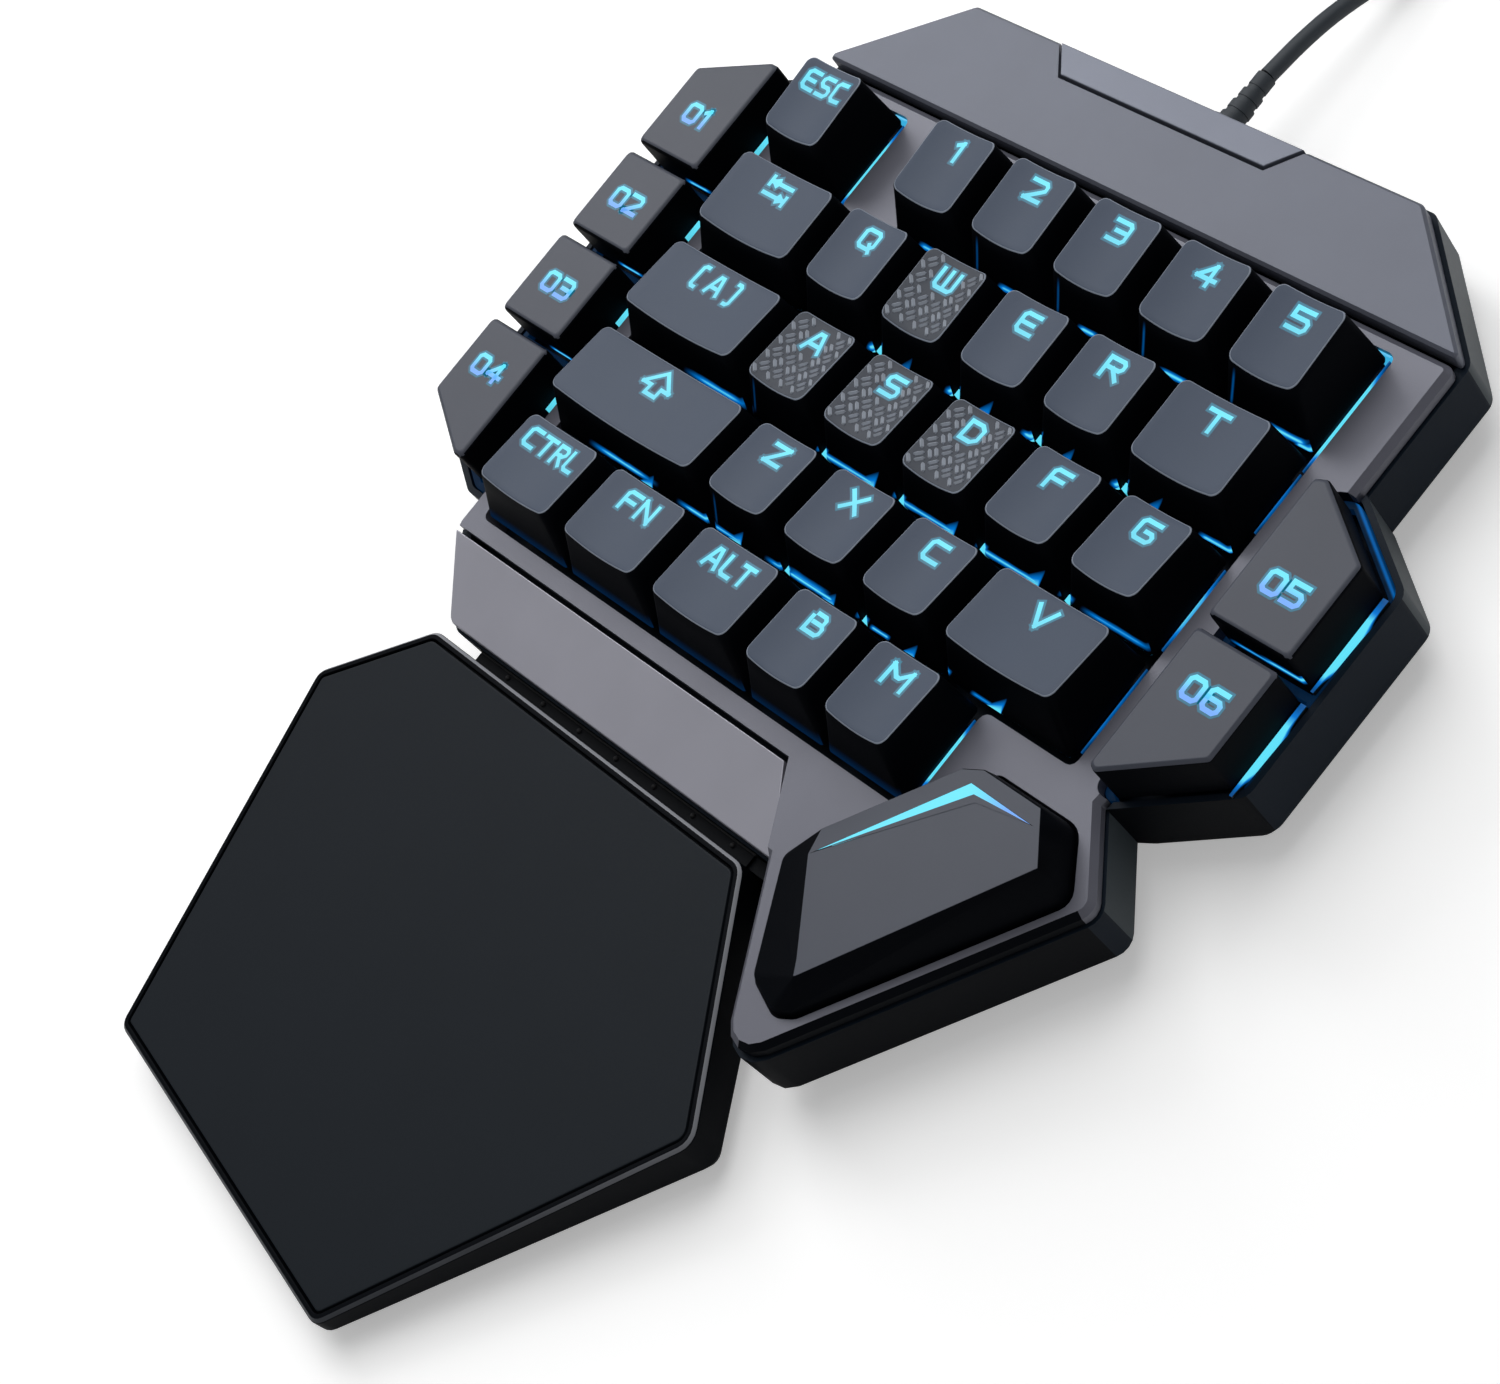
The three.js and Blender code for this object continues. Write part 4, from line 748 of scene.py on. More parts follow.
def keycap_mesh(name, width, row, centre):
    """A hollow keycap: inside, foot, wall, round edge and top, in this order."""
    form = CapForm(width, row)
    edge, wall = CAP["edge"], CAP["wall"]
    inside = (form.half - wall) / form.half, (form.deep - wall) / form.deep
    rings = [[(x, y, form.height - CAP["roof"])
              for x, y in shrunk(form.wall(0.7), *inside, 0.0)],
             [(x, y, 0.0) for x, y in shrunk(form.wall(0.0), *inside, 0.0)],
             [(x, y, 0.0) for x, y in shrunk(form.wall(0.0), 0.99, 0.99, 0.0)]]
    rings += [form.wall(share, edge) for share in WALL_LEVELS]
    first_top = len(rings)
    rim = form.wall(1.0)
    for i in range(1, EDGE_STEPS + 1):
        angle = math.radians(90 * i / EDGE_STEPS)
        inset = edge * (1 - math.cos(angle))
        ring = shrunk(rim, 1 - inset / form.top_half, 1 - inset / (form.back - form.middle),
                      form.middle)
        rings.append([(x, y, form.top(x, y) - edge * (1 - math.sin(angle))) for x, y in ring])
    for share in TOP_SHARES:
        rings.append([(x, y, form.top(x, y)) for x, y in shrunk(rim, share, share, form.middle)])
    bm = bmesh.new()
    faces = skin(bm, rings)
    count = len(rings[0])
    # Walls take painted shade, and the first two rings of the round edge a painted highlight.
    for index, face in enumerate(faces):
        level = index // count
        face.material_index = 1 if level < first_top else 3 if level < first_top + 2 else 0
    bm.verts.ensure_lookup_table()
    bm.faces.new([bm.verts[i] for i in range(count)][::-1]).material_index = 1
    bmesh.ops.transform(
        bm, matrix=Matrix.Translation(world(*centre)) @ Matrix.Scale(MM, 4), verts=bm.verts)
    bmesh.ops.recalc_face_normals(bm, faces=bm.faces)
    for face in bm.faces:
        if face.material_index == 1 and face.normal.y < FRONT_SLOPE:
            face.material_index = 2
    # The treaded keys take the darker top, painted shade between their ridges.
    top = TREAD_GROUND_SHADE if name in TREADED else KEYCAP_TOP
    mesh = finished(bm, f"cap_{name}", top, KEYCAP_SIDE_SHADE, KEYCAP_FRONTS[row], KEYCAP_EDGE_HIGHLIGHT)
    smooth(mesh, 50.0)
    return mesh, form


FORMS = {}
for name, key in KEYS.items():
    mesh, FORMS[name] = keycap_mesh(
        name, key["width"], key["row"], (key["x"], key["y"], 0.0))
    settle(mesh, f"key_{name}", (f"key_{name}",))
print("keycaps:", len(FORMS), "with", len(mesh.vertices), "points in the last one")

# %% [markdown]
# The signs on the keys are cut through a dark coat, so that light shines out. They are plain
# strokes of one width, the way a laser draws them. Each sign is a list of lines on a grid four
# wide and six high, and a ribbon along each line is laid on the curved top. A wider, dimmer
# ribbon under it is the light that creeps out through the coat beside the cut.

# %% Strokes of the signs
GLYPHS = {
    "E": (4, "46 06 00 40|03 3.4,3"), "S": (4, "46 06 03 43 40 00"), "C": (4, "46 06 00 40"),
    "1": (1.2, "0,5 1.2,6 1.2,0"), "2": (4, "06 46 4,3.8 00 40"), "3": (4, "06 46 40 00|1,3 43"),
    "4": (4.4, "30 36 0,1.9 4.4,1.9"), "5": (4, "46 06 0,3.4 4,3.4 40 00"),
    "Q": (4, "2,0 00 06 46 4,1.5 2.8,0 2,0|2.7,1.6 3.6,-0.8"),
    "W": (4.8, "06 00 4.8,0 4.8,6|2.4,0 2.4,6"),
    "R": (4, "00 06 46 4,3 03|1.8,3 40"), "T": (4.6, "06 4.6,6|2.3,6 2.3,0"),
    "A": (4.6, "00 1.7,6 2.9,6 4.6,0|0.8,2 3.8,2"),
    "D": (4, "2,0 00 06 2.8,6 4,4.7 4,1.3 2.8,0 2,0"),
    "F": (4, "00 06 46|03 3.2,3"), "G": (4, "46 06 00 40 4,2.8 2,2.8"),
    "Z": (4.2, "06 4.2,6 00 4.2,0"), "X": (4.2, "06 4.2,0|4.2,6 00"),
    "V": (4.6, "06 2.3,0 4.6,6"), "B": (4, "0.8,6 3.4,6 3.4,3.3|1,3.3 4,3.3 40 00 0,4.6"),
    "M": (5.2, "00 06 2.6,2.4 5.2,6 5.2,0"), "N": (4.2, "00 06 4.2,0 4.2,6"),
    "L": (3.8, "06 00 3.8,0"), "0": (4, "2,0 00 06 46 40 2,0"),
    "6": (4, "46 06 00 40 4,3.3 0,3.3"),
    "[": (1.6, "1.6,6.8 0,6.8 0,-0.8 1.6,-0.8"), "]": (1.6, "0,6.8 1.6,6.8 1.6,-0.8 0,-0.8"),
    "tab": (8, "0,6.6 0,3.8|8,5.2 0.9,5.2|2.4,6.2 0.9,5.2 2.4,4.2|8,2.2 8,-0.6|0,0.8 7.1,0.8|"
               "5.6,1.8 7.1,0.8 5.6,-0.2"),
    "shift": (10, "3,-1.6 3,1.4 0,1.4 5,7 10,1.4 7,1.4 7,-1.6 3,-1.6"),
}
LEGENDS = {"esc": "ESC", "tab": ["tab"], "caps": "[A]", "shift": ["shift"], "ctrl": "CTRL",
           "fn": "FN", "alt": "ALT"}
SIGN = {"height": 4.1, "stroke": 0.76, "halo": 0.8, "gap": 1.27, "margin": 1.75, "step": 0.7,
        "cut": 0.5, "lift": 0.045, "halo_lift": 0.02}
UNIT = (SIGN["height"] - SIGN["stroke"]) / 6
# How wide a step of the grid is on each key, in millimetres, and the gap between two signs
LETTER_STEP, WORD_STEP = 0.82, 0.58
STEPS = {"fn": 0.75, "caps": 0.62, "tab": 0.67, "shift": 0.67}
GAPS = {"caps": 2.6}
SQUARE_ON_THE_LEFT = "DBR5"
SQUARE_TURN = 0.25  # lines that meet at about a right angle: the cosine is within this of 0


def strokes(sign):
    """The lines of one glyph, as lists of points on its grid."""
    width, text = GLYPHS[sign]
    lines = []
    for line in text.split("|"):
        points = []
        for word in line.split():
            x, y = word.split(",") if "," in word else (word[0], word[1])
            points.append(Vector((float(x), float(y))))
        lines.append(points)
    return width, lines


def corners_cut(points, cut, square):
    """A line with its right-angled corners cut off, in parts where it turns back sharply.

    With square set, corners on the left edge of the glyph stay as they are.
    """
    parts, part = [], [points[0]]
    for before, here, after in zip(points, points[1:], points[2:]):
        into, out = (here - before), (after - here)
        turn = into.normalized().dot(out.normalized())
        reach = min(cut, into.length * 0.4, out.length * 0.4)
        if turn < -SQUARE_TURN:
            parts.append(part + [here])
            part = [here]
        elif abs(turn) < SQUARE_TURN and reach > 0 and not (square and here.x < 0.01):
            part += [here - into.normalized() * reach, here + out.normalized() * reach]
        else:
            part.append(here)
    return parts + [part + [points[-1]]]


def laid_out(text, across, up, gap, cut=SIGN["cut"]):
    """The lines of a text in millimetres, centred on its own middle, its foot line at zero."""
    lines, x = [], 0.0
    for sign in text:
        width, glyph = strokes(sign)
        for line in glyph:
            points = [Vector((p.x * across, p.y * up)) for p in line]
            lines += [[p + Vector((x, 0)) for p in part]
                      for part in corners_cut(points, cut, sign in SQUARE_ON_THE_LEFT)]
        x += width * across + gap
    middle = (x - gap) / 2
    return [[p - Vector((middle, 0)) for p in line] for line in lines]


def ribbon(points, width, step):
    """Pairs of points on both sides of a line, with mitred corners and square ends."""
    closed = (points[0] - points[-1]).length < 1e-6
    if closed:
        points = points[:-1]
    count = len(points)
    pairs = []
    for i, here in enumerate(points):
        back = points[i - 1] if (closed or i) else None
        on = points[(i + 1) % count] if (closed or i + 1 < count) else None
        into = (here - back).normalized() if back is not None else (on - here).normalized()
        out = (on - here).normalized() if on is not None else into
        along = (into + out).normalized()
        across = Vector((-along.y, along.x))
        reach = width / 2 / max(0.35, across.dot(Vector((-into.y, into.x))))
        spot = here.copy()
        if back is None:
            spot -= out * width / 2
        if on is None:
            spot += into * width / 2
        pairs.append((spot + across * reach, spot - across * reach))
    if closed:
        pairs.append(pairs[0])
    fine = [pairs[0]]
    for (a, b), (c, d) in zip(pairs, pairs[1:]):
        parts = max(1, math.ceil(((c + d) - (a + b)).length / 2 / step))
        fine += [(a.lerp(c, t / parts), b.lerp(d, t / parts)) for t in range(1, parts + 1)]
    return fine


def sign_mesh(name, lines, stroke, place, top, light=LEGEND_LIGHT):
    """Ribbons for the strokes and for their halo, laid on a curved top."""
    bm = bmesh.new()
    for width, lift, index in ((stroke + SIGN["halo"], SIGN["halo_lift"], 1),
                               (stroke, SIGN["lift"], 0)):
        for line in lines:
            pairs = ribbon(line, width, SIGN["step"])
            verts = [[bm.verts.new(world(
                place[0] + p.x, place[1] + p.y, top(p.x, p.y) + place[2] + lift))
                for p in pair] for pair in pairs]
            for (a, b), (c, d) in zip(verts, verts[1:]):
                bm.faces.new((a, b, d, c)).material_index = index
    return finished(bm, name, light, LEGEND_HALO)


for name, key in KEYS.items():
    form = FORMS[name]
    text = LEGENDS.get(name, name.upper())
    foot = form.back - SIGN["margin"] - SIGN["height"] + SIGN["stroke"] / 2
    across = STEPS.get(name, WORD_STEP if len(text) > 1 else LETTER_STEP)
    lines = laid_out(text, across, UNIT, GAPS.get(name, SIGN["gap"]),
                     0.0 if isinstance(text, list) else SIGN["cut"])
    lines = [[p + Vector((0, foot)) for p in line] for line in lines]
    mesh = sign_mesh(f"legend_{name}", lines, SIGN["stroke"], (key["x"], key["y"], 0), form.top)
    settle(mesh, f"key_{name}")
print("legends on the block:", len(KEYS))

# %% [markdown]
# Four keys carry a tread, so that a finger finds them without looking: pairs of short ridges
# that cross each other's direction, as on a steel floor. A ridge is a small roof on the top. No
# ridge stands where the sign is.

# %% Treads on four keys
TREAD = {"pitch": 3.1, "apart": 1.05, "length": 1.95, "width": 0.7, "height": 0.34,
         "clear": 0.6, "below_sign": 0.7, "sunk": 0.03, "waist": 0.6, "crest": 0.75, "reach": 6}
# The corners of a ridge's faces: six points round its foot, then the two ends of its crest
RIDGE = ((0, 1, 6), (1, 2, 7, 6), (2, 3, 7), (3, 4, 7), (4, 5, 6, 7), (5, 0, 6))


def tread_mesh(name, form, place, keep_out):
    """Ridges all over the flat of a top, but not inside the box kept for the sign."""
    bm = bmesh.new()
    pitch = TREAD["pitch"]
    steps = range(-TREAD["reach"], TREAD["reach"])
    spots = [(i * pitch, j * pitch, -1) for i in steps for j in steps]
    spots += [(x + pitch / 2, y + pitch / 2, 1) for x, y, _ in spots]
    for x, y, turn in spots:
        along = Vector((1, turn)).normalized()
        across = Vector((-along.y, along.x))
        for side in (-0.5, 0.5):
            middle = Vector((x, y + form.middle)) + across * side * TREAD["apart"]
            if abs(middle.x) > form.top_half - TREAD["clear"]:
                continue
            if not form.front + TREAD["clear"] < middle.y < form.back - TREAD["clear"]:
                continue
            x0, x1, y0, y1 = keep_out
            if x0 < middle.x < x1 and y0 < middle.y < y1:
                continue
            half, wide = along * TREAD["length"] / 2, across * TREAD["width"] / 2
            waist, crest = half * TREAD["waist"], half * TREAD["crest"]
            low = [middle + half, middle + wide + waist, middle + wide - waist,
                   middle - half, middle - wide - waist, middle - wide + waist]
            high = [middle + crest, middle - crest]
            points = [(p, -TREAD["sunk"]) for p in low] + [(p, TREAD["height"]) for p in high]
            v = [bm.verts.new(world(place[0] + p.x, place[1] + p.y, form.top(p.x, p.y) + lift))
                 for p, lift in points]
            for corners in RIDGE:
                bm.faces.new([v[k] for k in corners])
    bmesh.ops.recalc_face_normals(bm, faces=bm.faces)
    # The ridges take a light grey, a painted highlight.
    return finished(bm, name, TREAD_RIDGE_HIGHLIGHT)


BARE_HALF = {"w": 3.0, "a": 2.7, "s": 2.7, "d": 2.7}  # half the width kept for the sign
for name in TREADED:
    key, form, half = KEYS[name], FORMS[name], BARE_HALF[name]
    low = form.back - SIGN["margin"] - SIGN["height"] - TREAD["below_sign"]
    mesh = tread_mesh(f"tread_{name}", form, (key["x"], key["y"]), (-half, half, low, form.back))
    settle(mesh, f"key_{name}")
print("ridges on the last tread:", len(mesh.polygons) // 6)

# %% [markdown]
# The side keys are flat-topped blocks with cut corners. Their solids are right, so they are
# dressed copies, with painted shade on the walls and grey on the top. Each carries a plain
# number.

# %% Side keys and the thumb key
MACRO_SIGNS = {1: (-14.2, -18.2), 2: (-14.2, -37.4), 3: (-14.2, -56.2), 4: (-14.5, -74.8),
               5: (144.3, -39.9), 6: (144.7, -58.9)}
MACRO_TOP = 7.5
MACRO_SIGN = {"step": 0.7, "gap": 1.3, "stroke": 0.82, "up": 0.3}
# Faces below these limits take painted shade, the thumb key's sloping facets too.
FLAT, THUMB_FLAT = 0.6, 0.97  # faces that look up more than this are the top
FORWARD = -0.7                # walls that look to the front more than this are lit
for index, (x, y) in MACRO_SIGNS.items():
    name = f"macro_key_{index}"
    key = dressed(name, f"side_key_{index}", KEY_TOP, edge=0.3, body=name)
    paint_faces(key, lambda normal: int(normal.z <= FLAT), KEYCAP_SIDE_SHADE)
    if index not in (4, 6):  # these two have no lit gap in front
        paint_faces(key, lambda normal: 2 * (normal.y < FORWARD), SIDE_KEY_FRONT)
    lines = laid_out(f"0{index}", MACRO_SIGN["step"], UNIT, MACRO_SIGN["gap"])
    mesh = sign_mesh(
        f"number_{index}", lines, MACRO_SIGN["stroke"],
        (x, y - SIGN["height"] / 2 + MACRO_SIGN["up"], MACRO_TOP), lambda px, py: 0.0,
        NUMBER_LIGHT)
    settle(mesh, name)

thumb = dressed("thumb_key", "thumb_cap", KEY_TOP, edge=0.4, steps=3, turn=24.0,
                body="thumb_key")
paint_faces(thumb, lambda normal: int(normal.z <= THUMB_FLAT), KEYCAP_SIDE_SHADE)
dressed("thumb_key_light", "thumb_light", THUMB_LIGHT, edge=0.05, body="thumb_key")

# The light shows as a thin arrow, laid just over the sloping top. The rest of it is covered.
INLAY = ((105.4, -108.35), (123.3, -88.65), (135.3, -87.85), (121.6, -87.5), (124.45, -89.55))
LIT_FACES, COVERED_FACES = [(0, 1, 3), (1, 2, 3)], [(0, 4, 1), (4, 2, 1)]
THUMB = {"x": 134.9, "y": -85.0, "height": 8.06, "rise_x": 0.0888, "rise_y": 0.0204}


def thumb_top(x, y):
    """Height of the thumb key's sloping top, and a hair more."""
    return (THUMB["height"] + THUMB["rise_x"] * (x - THUMB["x"])
            + THUMB["rise_y"] * (y - THUMB["y"]))


cover = bpy.data.meshes.new("thumb_glow")
cover.from_pydata([world(x, y, thumb_top(x, y)) for x, y in INLAY], [], LIT_FACES + COVERED_FACES)
cover.materials.append(THUMB_LIGHT)
cover.materials.append(KEY_TOP)
for face in cover.polygons:
    face.material_index = int(face.index >= len(LIT_FACES))
settle(cover, "thumb_key")
print("side keys:", len(MACRO_SIGNS), "and the thumb key")

# %% [markdown]
# The banks of side keys stand over clear plates that carry the light. They aren't lit evenly:
# beside the right keys a lip of the plate swells to a bright bar and dies out towards the
# corners. On the left, short upright lips are seen between the keys and the block.

# %% Light guides
RIM_SOFT = 0.25


def guide_material(name, rim=None):
    """A clear plate, with a faint line of light beside a slanting wall.

    The line is a point of the wall, the direction away from it, how near and how far it is lit,
    and how strongly.
    """
    material, shader, place = new_material(name)
    strength = grain(place, 3.0) * 0.06
    if rim:
        x, y, _ = block_place(place)
        (px, py), (nx, ny), low, high, power = rim
        off = (x - px) * nx + (y - py) * ny
        strength = strength + band(off, low, high, RIM_SOFT) * power
    glowing(shader, glow_colour(strength.clamped()), CLEAR_BASE)
    feed(shader, "Roughness", 0.5)
    feed(shader, "Specular IOR Level", 0.05)
    return material


@functools.cache
def swelling_light(strength):
    """Bright and tall in the middle of a wall's length, blue and thin towards its ends."""
    material, shader, place = new_material(f"swelling_light_{round(strength * 100)}")
    _, along, up = place.node("ShaderNodeTexCoord", output="Generated").parts()
    swell = along.step(0.0, 0.35) * along.step(1.0, 0.55) * strength + grain(place, 3.0) * 0.2
    power = (1 - (1 - up) / (swell * swell * 1.4 + 0.1)).clamped() * 1.5 * (swell * 0.85 + 0.1)
    glowing(shader, glow_colour(power.clamped()), CLEAR_BASE)
    return material


def glow_box(name, low, high, material):
    """A lit box that stands still."""
    return settle(box_mesh(name, low, high, material), "base")


GUIDES = {
    "left": guide_material("guide_left_light"),
    "right": guide_material(
        "guide_right_light", ((152.19, -31.7), (0.539, 0.842), 1.05, 1.5, 0.36)),
}
BAR = {"left": 152.45, "right": 153.45, "bottom": -2.3, "top": -1.15, "cut": 0.5}
BAR_ENDS = {5: (-48.9, -32.0), 6: (-67.6, -51.0)}
BAR_LIGHT = swelling_light(1.1)
for index, (front, back) in BAR_ENDS.items():
    bar = glow_box(f"guide_bar_{index}", (BAR["left"], front, BAR["bottom"]),
                    (BAR["right"], back, BAR["top"]), BAR_LIGHT)
    outer_front = world(BAR["right"], front, 0)
    for vert in bar.data.vertices:
        if (vert.co.xy - outer_front.xy).length < 0.1 * MM:
            vert.co.x -= BAR["cut"] * MM
LIP = {"left": -5.5, "right": -4.9, "bottom": -2.2, "top": -0.25, "back": -13.3, "length": 3.8}
LIP_LIGHT = lit("lip_light", CYAN)
for index in range(4):
    back = LIP["back"] - index * KEY_PITCH
    glow_box(f"guide_lip_{index + 1}", (LIP["left"], back - LIP["length"], LIP["bottom"]),
              (LIP["right"], back, LIP["top"]), LIP_LIGHT)
for side, material in GUIDES.items():
    dressed(f"light_guide_{side}", f"guide_{side}", material, edge=0.1)
print("lit bars:", len(BAR_ENDS), "lit lips: 4, guides:", len(GUIDES))

# %% [markdown]
# The light seen in the gaps is painted on glowing pieces. Between the last caps of a row and the
# frame a thin glowing wall stands on the switch plate, outside the cap's foot, clear of its
# travel.
# Small glowing posts stand in the gaps between neighbouring caps, at their front corners, and two
# short glowing walls behind the back corners of the first and the last cap of the number row.

# %% Light in the gaps
FOOT = -6.55  # just clear of the switch plate
WALL = {"off": 0.12, "thickness": 0.15, "top": -0.3}
DASH = {"from": 3.2, "to": 0.3, "front": -0.05, "back": 0.3, "top": -0.6}
POST = {"half": 0.26, "front": 0.85, "depth": 1.2, "top": 0.6}
# The key, how strong, from and to along Y
GAP_LIGHTS = (("esc", 0.95, -19.4, -1.0), ("5", 1.1, -21.5, -0.6), ("t", 0.15, -33.0, -22.0),
              ("g", 0.45, -55.0, -40.0), ("v", 0.12, -74.0, -58.5), ("m", 1.1, -92.0, -78.5))
POSTS = {1: (2.5, 3.5, 4.5, 5.5), 2: (2.75, 3.75, 4.75, 5.75), 3: (3.25, 4.25)}
POST_LIGHT = lit("post_light", CYAN, DARK, axis=2, low=0.62, high=0.95, base=DARK, specular=0.03)
DASH_LIGHT = lit("dash_light", (0.05, 0.5, 0.85, 1.0))
for name, power, front, back in GAP_LIGHTS:
    edge = KEYS[name]["x"] + FORMS[name].half + WALL["off"]
    glow_box(f"gap_light_{name}", (edge, front, FOOT),
              (edge + WALL["thickness"], back, WALL["top"]), swelling_light(power))
for name in ("esc", "5"):
    edge = KEYS[name]["x"] + FORMS[name].half
    glow_box(f"gap_dash_{name}", (edge - DASH["from"], DASH["front"], FOOT),
              (edge - DASH["to"], DASH["back"], DASH["top"]), DASH_LIGHT)
for row, places in POSTS.items():
    front = -(row + 1) * KEY_PITCH + POST["front"]
    for index, place in enumerate(places):
        middle = place * KEY_PITCH
        glow_box(f"gap_post_{row}_{index}", (middle - POST["half"], front, FOOT),
                  (middle + POST["half"], front + POST["depth"], POST["top"]), POST_LIGHT)
print("lit walls:", len(GAP_LIGHTS), "and posts:", sum(len(p) for p in POSTS.values()))

# %% [markdown]
# Nine screws close the case and the palm rest from below. Their heads sit just under the
# bottom skins, inside the height of the rubber feet, and a thin black cross on each is painted
# shade standing for its cross recess.

# %% Screws below
SCREWS = {
    "base": ((19.0, -19.05), (64.3, -19.05), (109.3, -19.05), (38.6, -57.15), (102.9, -57.15),
             (113.2, -121.0)),
    "palm_rest": ((12.9, -147.6), (77.2, -142.9), (54.0, -185.7))}
BOTTOM = -18.0
SCREW = {"inner": 2.0, "outer": 2.6, "depth": 0.7, "down": 0.3, "cross_down": 0.66}
CROSS = (2.6, 0.6, 0.06, 1.0)
SCREW_BLACK = moulded("screw_black", (0.03, 0.03, 0.033), 0.35, metallic=0.8, grain_size=0.3)
for body, places in SCREWS.items():
    bm = bmesh.new()
    for x, y in places:
        bmesh.ops.create_cone(
            bm, cap_ends=True, segments=24, radius1=SCREW["inner"] * MM,
            radius2=SCREW["outer"] * MM, depth=SCREW["depth"] * MM,
            matrix=Matrix.Translation(world(x, y, BOTTOM - SCREW["down"])))
        place = Matrix.Translation(world(x, y, BOTTOM - SCREW["cross_down"]))
        for turn in (0, math.pi / 2):
            made = bmesh.ops.create_cube(
                bm, size=MM,
                matrix=place @ Matrix.Rotation(turn, 4, "Z") @ Matrix.Diagonal(CROSS))
            for face in {face for vert in made["verts"] for face in vert.link_faces}:
                face.material_index = 1
    settle(finished(bm, f"screws_{body}", SCREW_BLACK, REST_BLACK), body)
print("screws:", sum(len(places) for places in SCREWS.values()))

# %% [markdown]
# The cable leaves the back wall through a ribbed sleeve, sinks to the desk and is put away
# behind the keypad, outside the picture: a tied coil, with the plug beside it. One curve
# follows the whole of it. The first stretch passes smoothly through a few places. The coil
# spirals in and out again in four layers and climbs a layer where it turns back.

# %% Cable
CABLE = {
    "diameter": 3.0, "exit": (67.637, 36.303, -9.0), "radius": 25.45, "layer_turns": 2.75,
    "layers": 4, "pitch": 3.6, "climb": 0.5, "steps": 32, "tail_turns": 0.28, "tail_reach": 12.0,
    "tail_steps": 24, "plug_level": -16.0, "lead": 3.3,
}
SLEEVE_NECK = {"from": 24.0, "share": 0.3}  # where the sleeve narrows, and by how much
CABLE_ROUTE = ((0, 0, 0), (0.5, 8, -0.7), (1.2, 15, -1.8), (2.0, 23, -4.2), (3.0, 32, -7.4),
               (4.2, 42, -9.0), (5.2, 52, -8.1))


def eased(t):
    return t * t * (3 - 2 * t)


def through(points, parts=8):
    """A smooth line through the points: a Catmull-Rom curve."""
    ends = [2 * points[0] - points[1], *points, 2 * points[-1] - points[-2]]
    line = []
    for a, b, c, d in zip(ends, ends[1:], ends[2:], ends[3:]):
        for i in range(parts):
            t = i / parts
            line.append(0.5 * (2 * b + (c - a) * t + (2 * a - 5 * b + 4 * c - d) * t * t
                               + (3 * b - 3 * c + d - a) * t ** 3))
    return line + [points[-1]]


def coil_place(turn, begin):
    """Where the coil is after so many turns."""
    turns, layers = CABLE["layer_turns"], CABLE["layers"]
    within = turn / turns
    layer = min(int(within), layers - 1)
    inwards = 1 - (within - layer) if layer % 2 else within - layer
    radius = CABLE["radius"] - CABLE["pitch"] * turns * inwards
    nearest = round(within)
    beside = turn - nearest * turns
    level = layer
    if 0 < nearest < layers and abs(beside) < CABLE["climb"] / 2:
        level = nearest - 1 + eased(beside / CABLE["climb"] + 0.5)
    angle = 2 * math.pi * turn
    return begin + Vector((radius * math.cos(angle) - CABLE["radius"],
                           radius * math.sin(angle), level * CABLE["pitch"]))


route = through([Vector(p) + Vector(CABLE["exit"]) for p in CABLE_ROUTE])
begin = route[-1] + Vector((0, CABLE["lead"], 0))
all_turns = CABLE["layer_turns"] * CABLE["layers"]
count = int(all_turns * CABLE["steps"])
coil = [coil_place(all_turns * i / count, begin) for i in range(count)]
coil_top = begin.z + (CABLE["layers"] - 1) * CABLE["pitch"]
tail = []
for i in range(CABLE["tail_steps"] + 1):
    share = i / CABLE["tail_steps"]
    angle = 2 * math.pi * (all_turns + share * CABLE["tail_turns"])
    radius = CABLE["radius"] + CABLE["tail_reach"] * eased(share)
    tail.append(Vector((begin.x - CABLE["radius"] + radius * math.cos(angle),
                        begin.y + radius * math.sin(angle),
                        coil_top + (CABLE["plug_level"] - coil_top) * eased(share))))
heading = Vector((-math.sin(angle), math.cos(angle), 0))
line = route + coil + tail + [tail[-1] + heading * CABLE["diameter"]]
cable_length = sum((b - a).length for a, b in zip(line, line[1:])) * MM

curve = bpy.data.curves.new("lead", "CURVE")
curve.dimensions = "3D"
curve.bevel_depth = CABLE["diameter"] / 2 * MM
curve.bevel_resolution = 3
curve.use_fill_caps = True
spline = curve.splines.new("POLY")
spline.points.add(len(line) - 1)
for point, place in zip(spline.points, line):
    point.co = (*world(*place), 1.0)
curve.materials.append(CABLE_SKIN)
lead = settle(curve, "base", ("cable", "cable_coil"))

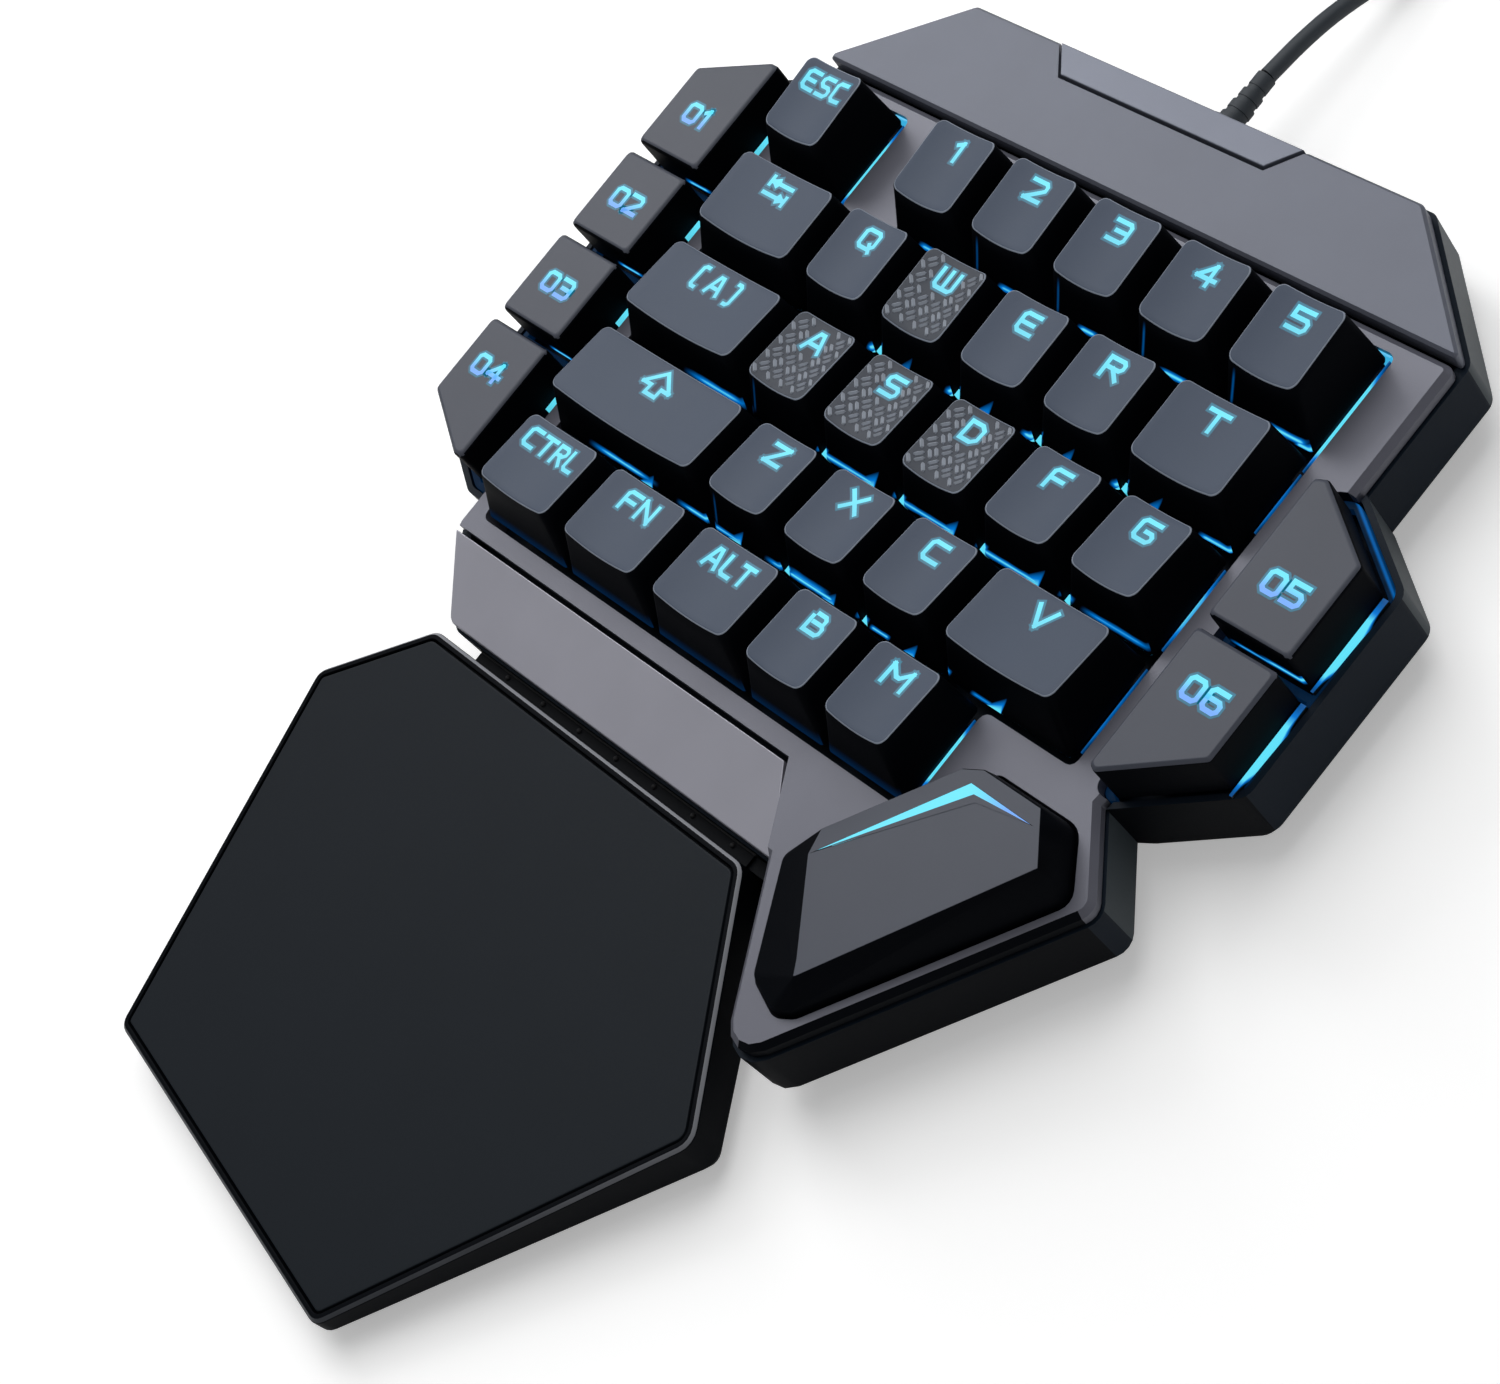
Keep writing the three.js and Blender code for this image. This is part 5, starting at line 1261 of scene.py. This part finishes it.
sleeve = dressed("strain_relief", "sleeve", CABLE_SKIN, edge=0.25)
axis = world(*CABLE["exit"])
for vert in sleeve.data.vertices:
    if vert.co.y > world(0, SLEEVE_NECK["from"], 0).y:
        vert.co.x += (axis.x - vert.co.x) * SLEEVE_NECK["share"]
        vert.co.z += (axis.z - vert.co.z) * SLEEVE_NECK["share"]
tie = dressed("cable_tie", "tie", STRAP, edge=0.15)
plug_grip = dressed("plug_body", "plug_grip", CABLE_SKIN, edge=0.5)
plug_mouth = dressed("plug_shell", "plug_mouth", STEEL, edge=0.1)
print("cable, metres:", round(cable_length, 3), "with", len(line), "points")

# %% [markdown]
# The studio: a pale floor, one large soft light above, a weaker one from the back left, and an
# even white world. The levels are such that a colour renders about as it is written.

# %% Floor and lights
FLOOR_WHITE, FLOOR_GLOW = (0.98, 0.98, 0.98, 1.0), (0.35, 0.35, 0.35, 1.0)
FLOOR_CORNERS = [(-4, -4, 0), (4, -4, 0), (4, 4, 0), (-4, 4, 0)]
floor_mesh = bpy.data.meshes.new("floor")
floor_mesh.from_pydata(FLOOR_CORNERS, [], [(0, 1, 2, 3)])
floor = link(floor_mesh, "floor")
floor_material, floor_shader, floor_place = new_material("floor_white")
seen = floor_place.node("ShaderNodeLightPath", output="Is Camera Ray")
glowing(floor_shader, mixed_colours(seen, DARK, FLOOR_GLOW), FLOOR_WHITE)
feed(floor_shader, "Roughness", 0.9)
floor_mesh.materials.append(floor_material)


def softbox(name, size, power, place, aim):
    """A square lamp that looks at a point."""
    light = bpy.data.lights.new(name, "AREA")
    light.size, light.energy = size, power
    lamp = link(light, name)
    lamp.location = place
    lamp.rotation_mode = "QUATERNION"
    lamp.rotation_quaternion = (Vector(aim) - Vector(place)).to_track_quat("-Z", "Y")


# Name: size, power, place and aim, in metres and watts
LAMPS = {"top_light": (1.3, 11.0, (-0.3, 0.5, 1.3), (0, 0, 0)),
         "side_light": (0.5, 2.6, (-0.75, 0.25, 0.6), (-0.05, 0, 0))}
SKY_STRENGTH = 0.2
for name, (size, power, place, aim) in LAMPS.items():
    softbox(name, size, power, place, aim)
sky = bpy.data.worlds.new("studio")
sky.use_nodes = True
sky.node_tree.nodes["Background"].inputs["Color"].default_value = (1, 1, 1, 1)
sky.node_tree.nodes["Background"].inputs["Strength"].default_value = SKY_STRENGTH
bpy.context.scene.world = sky
print("studio lights:", len(LAMPS))
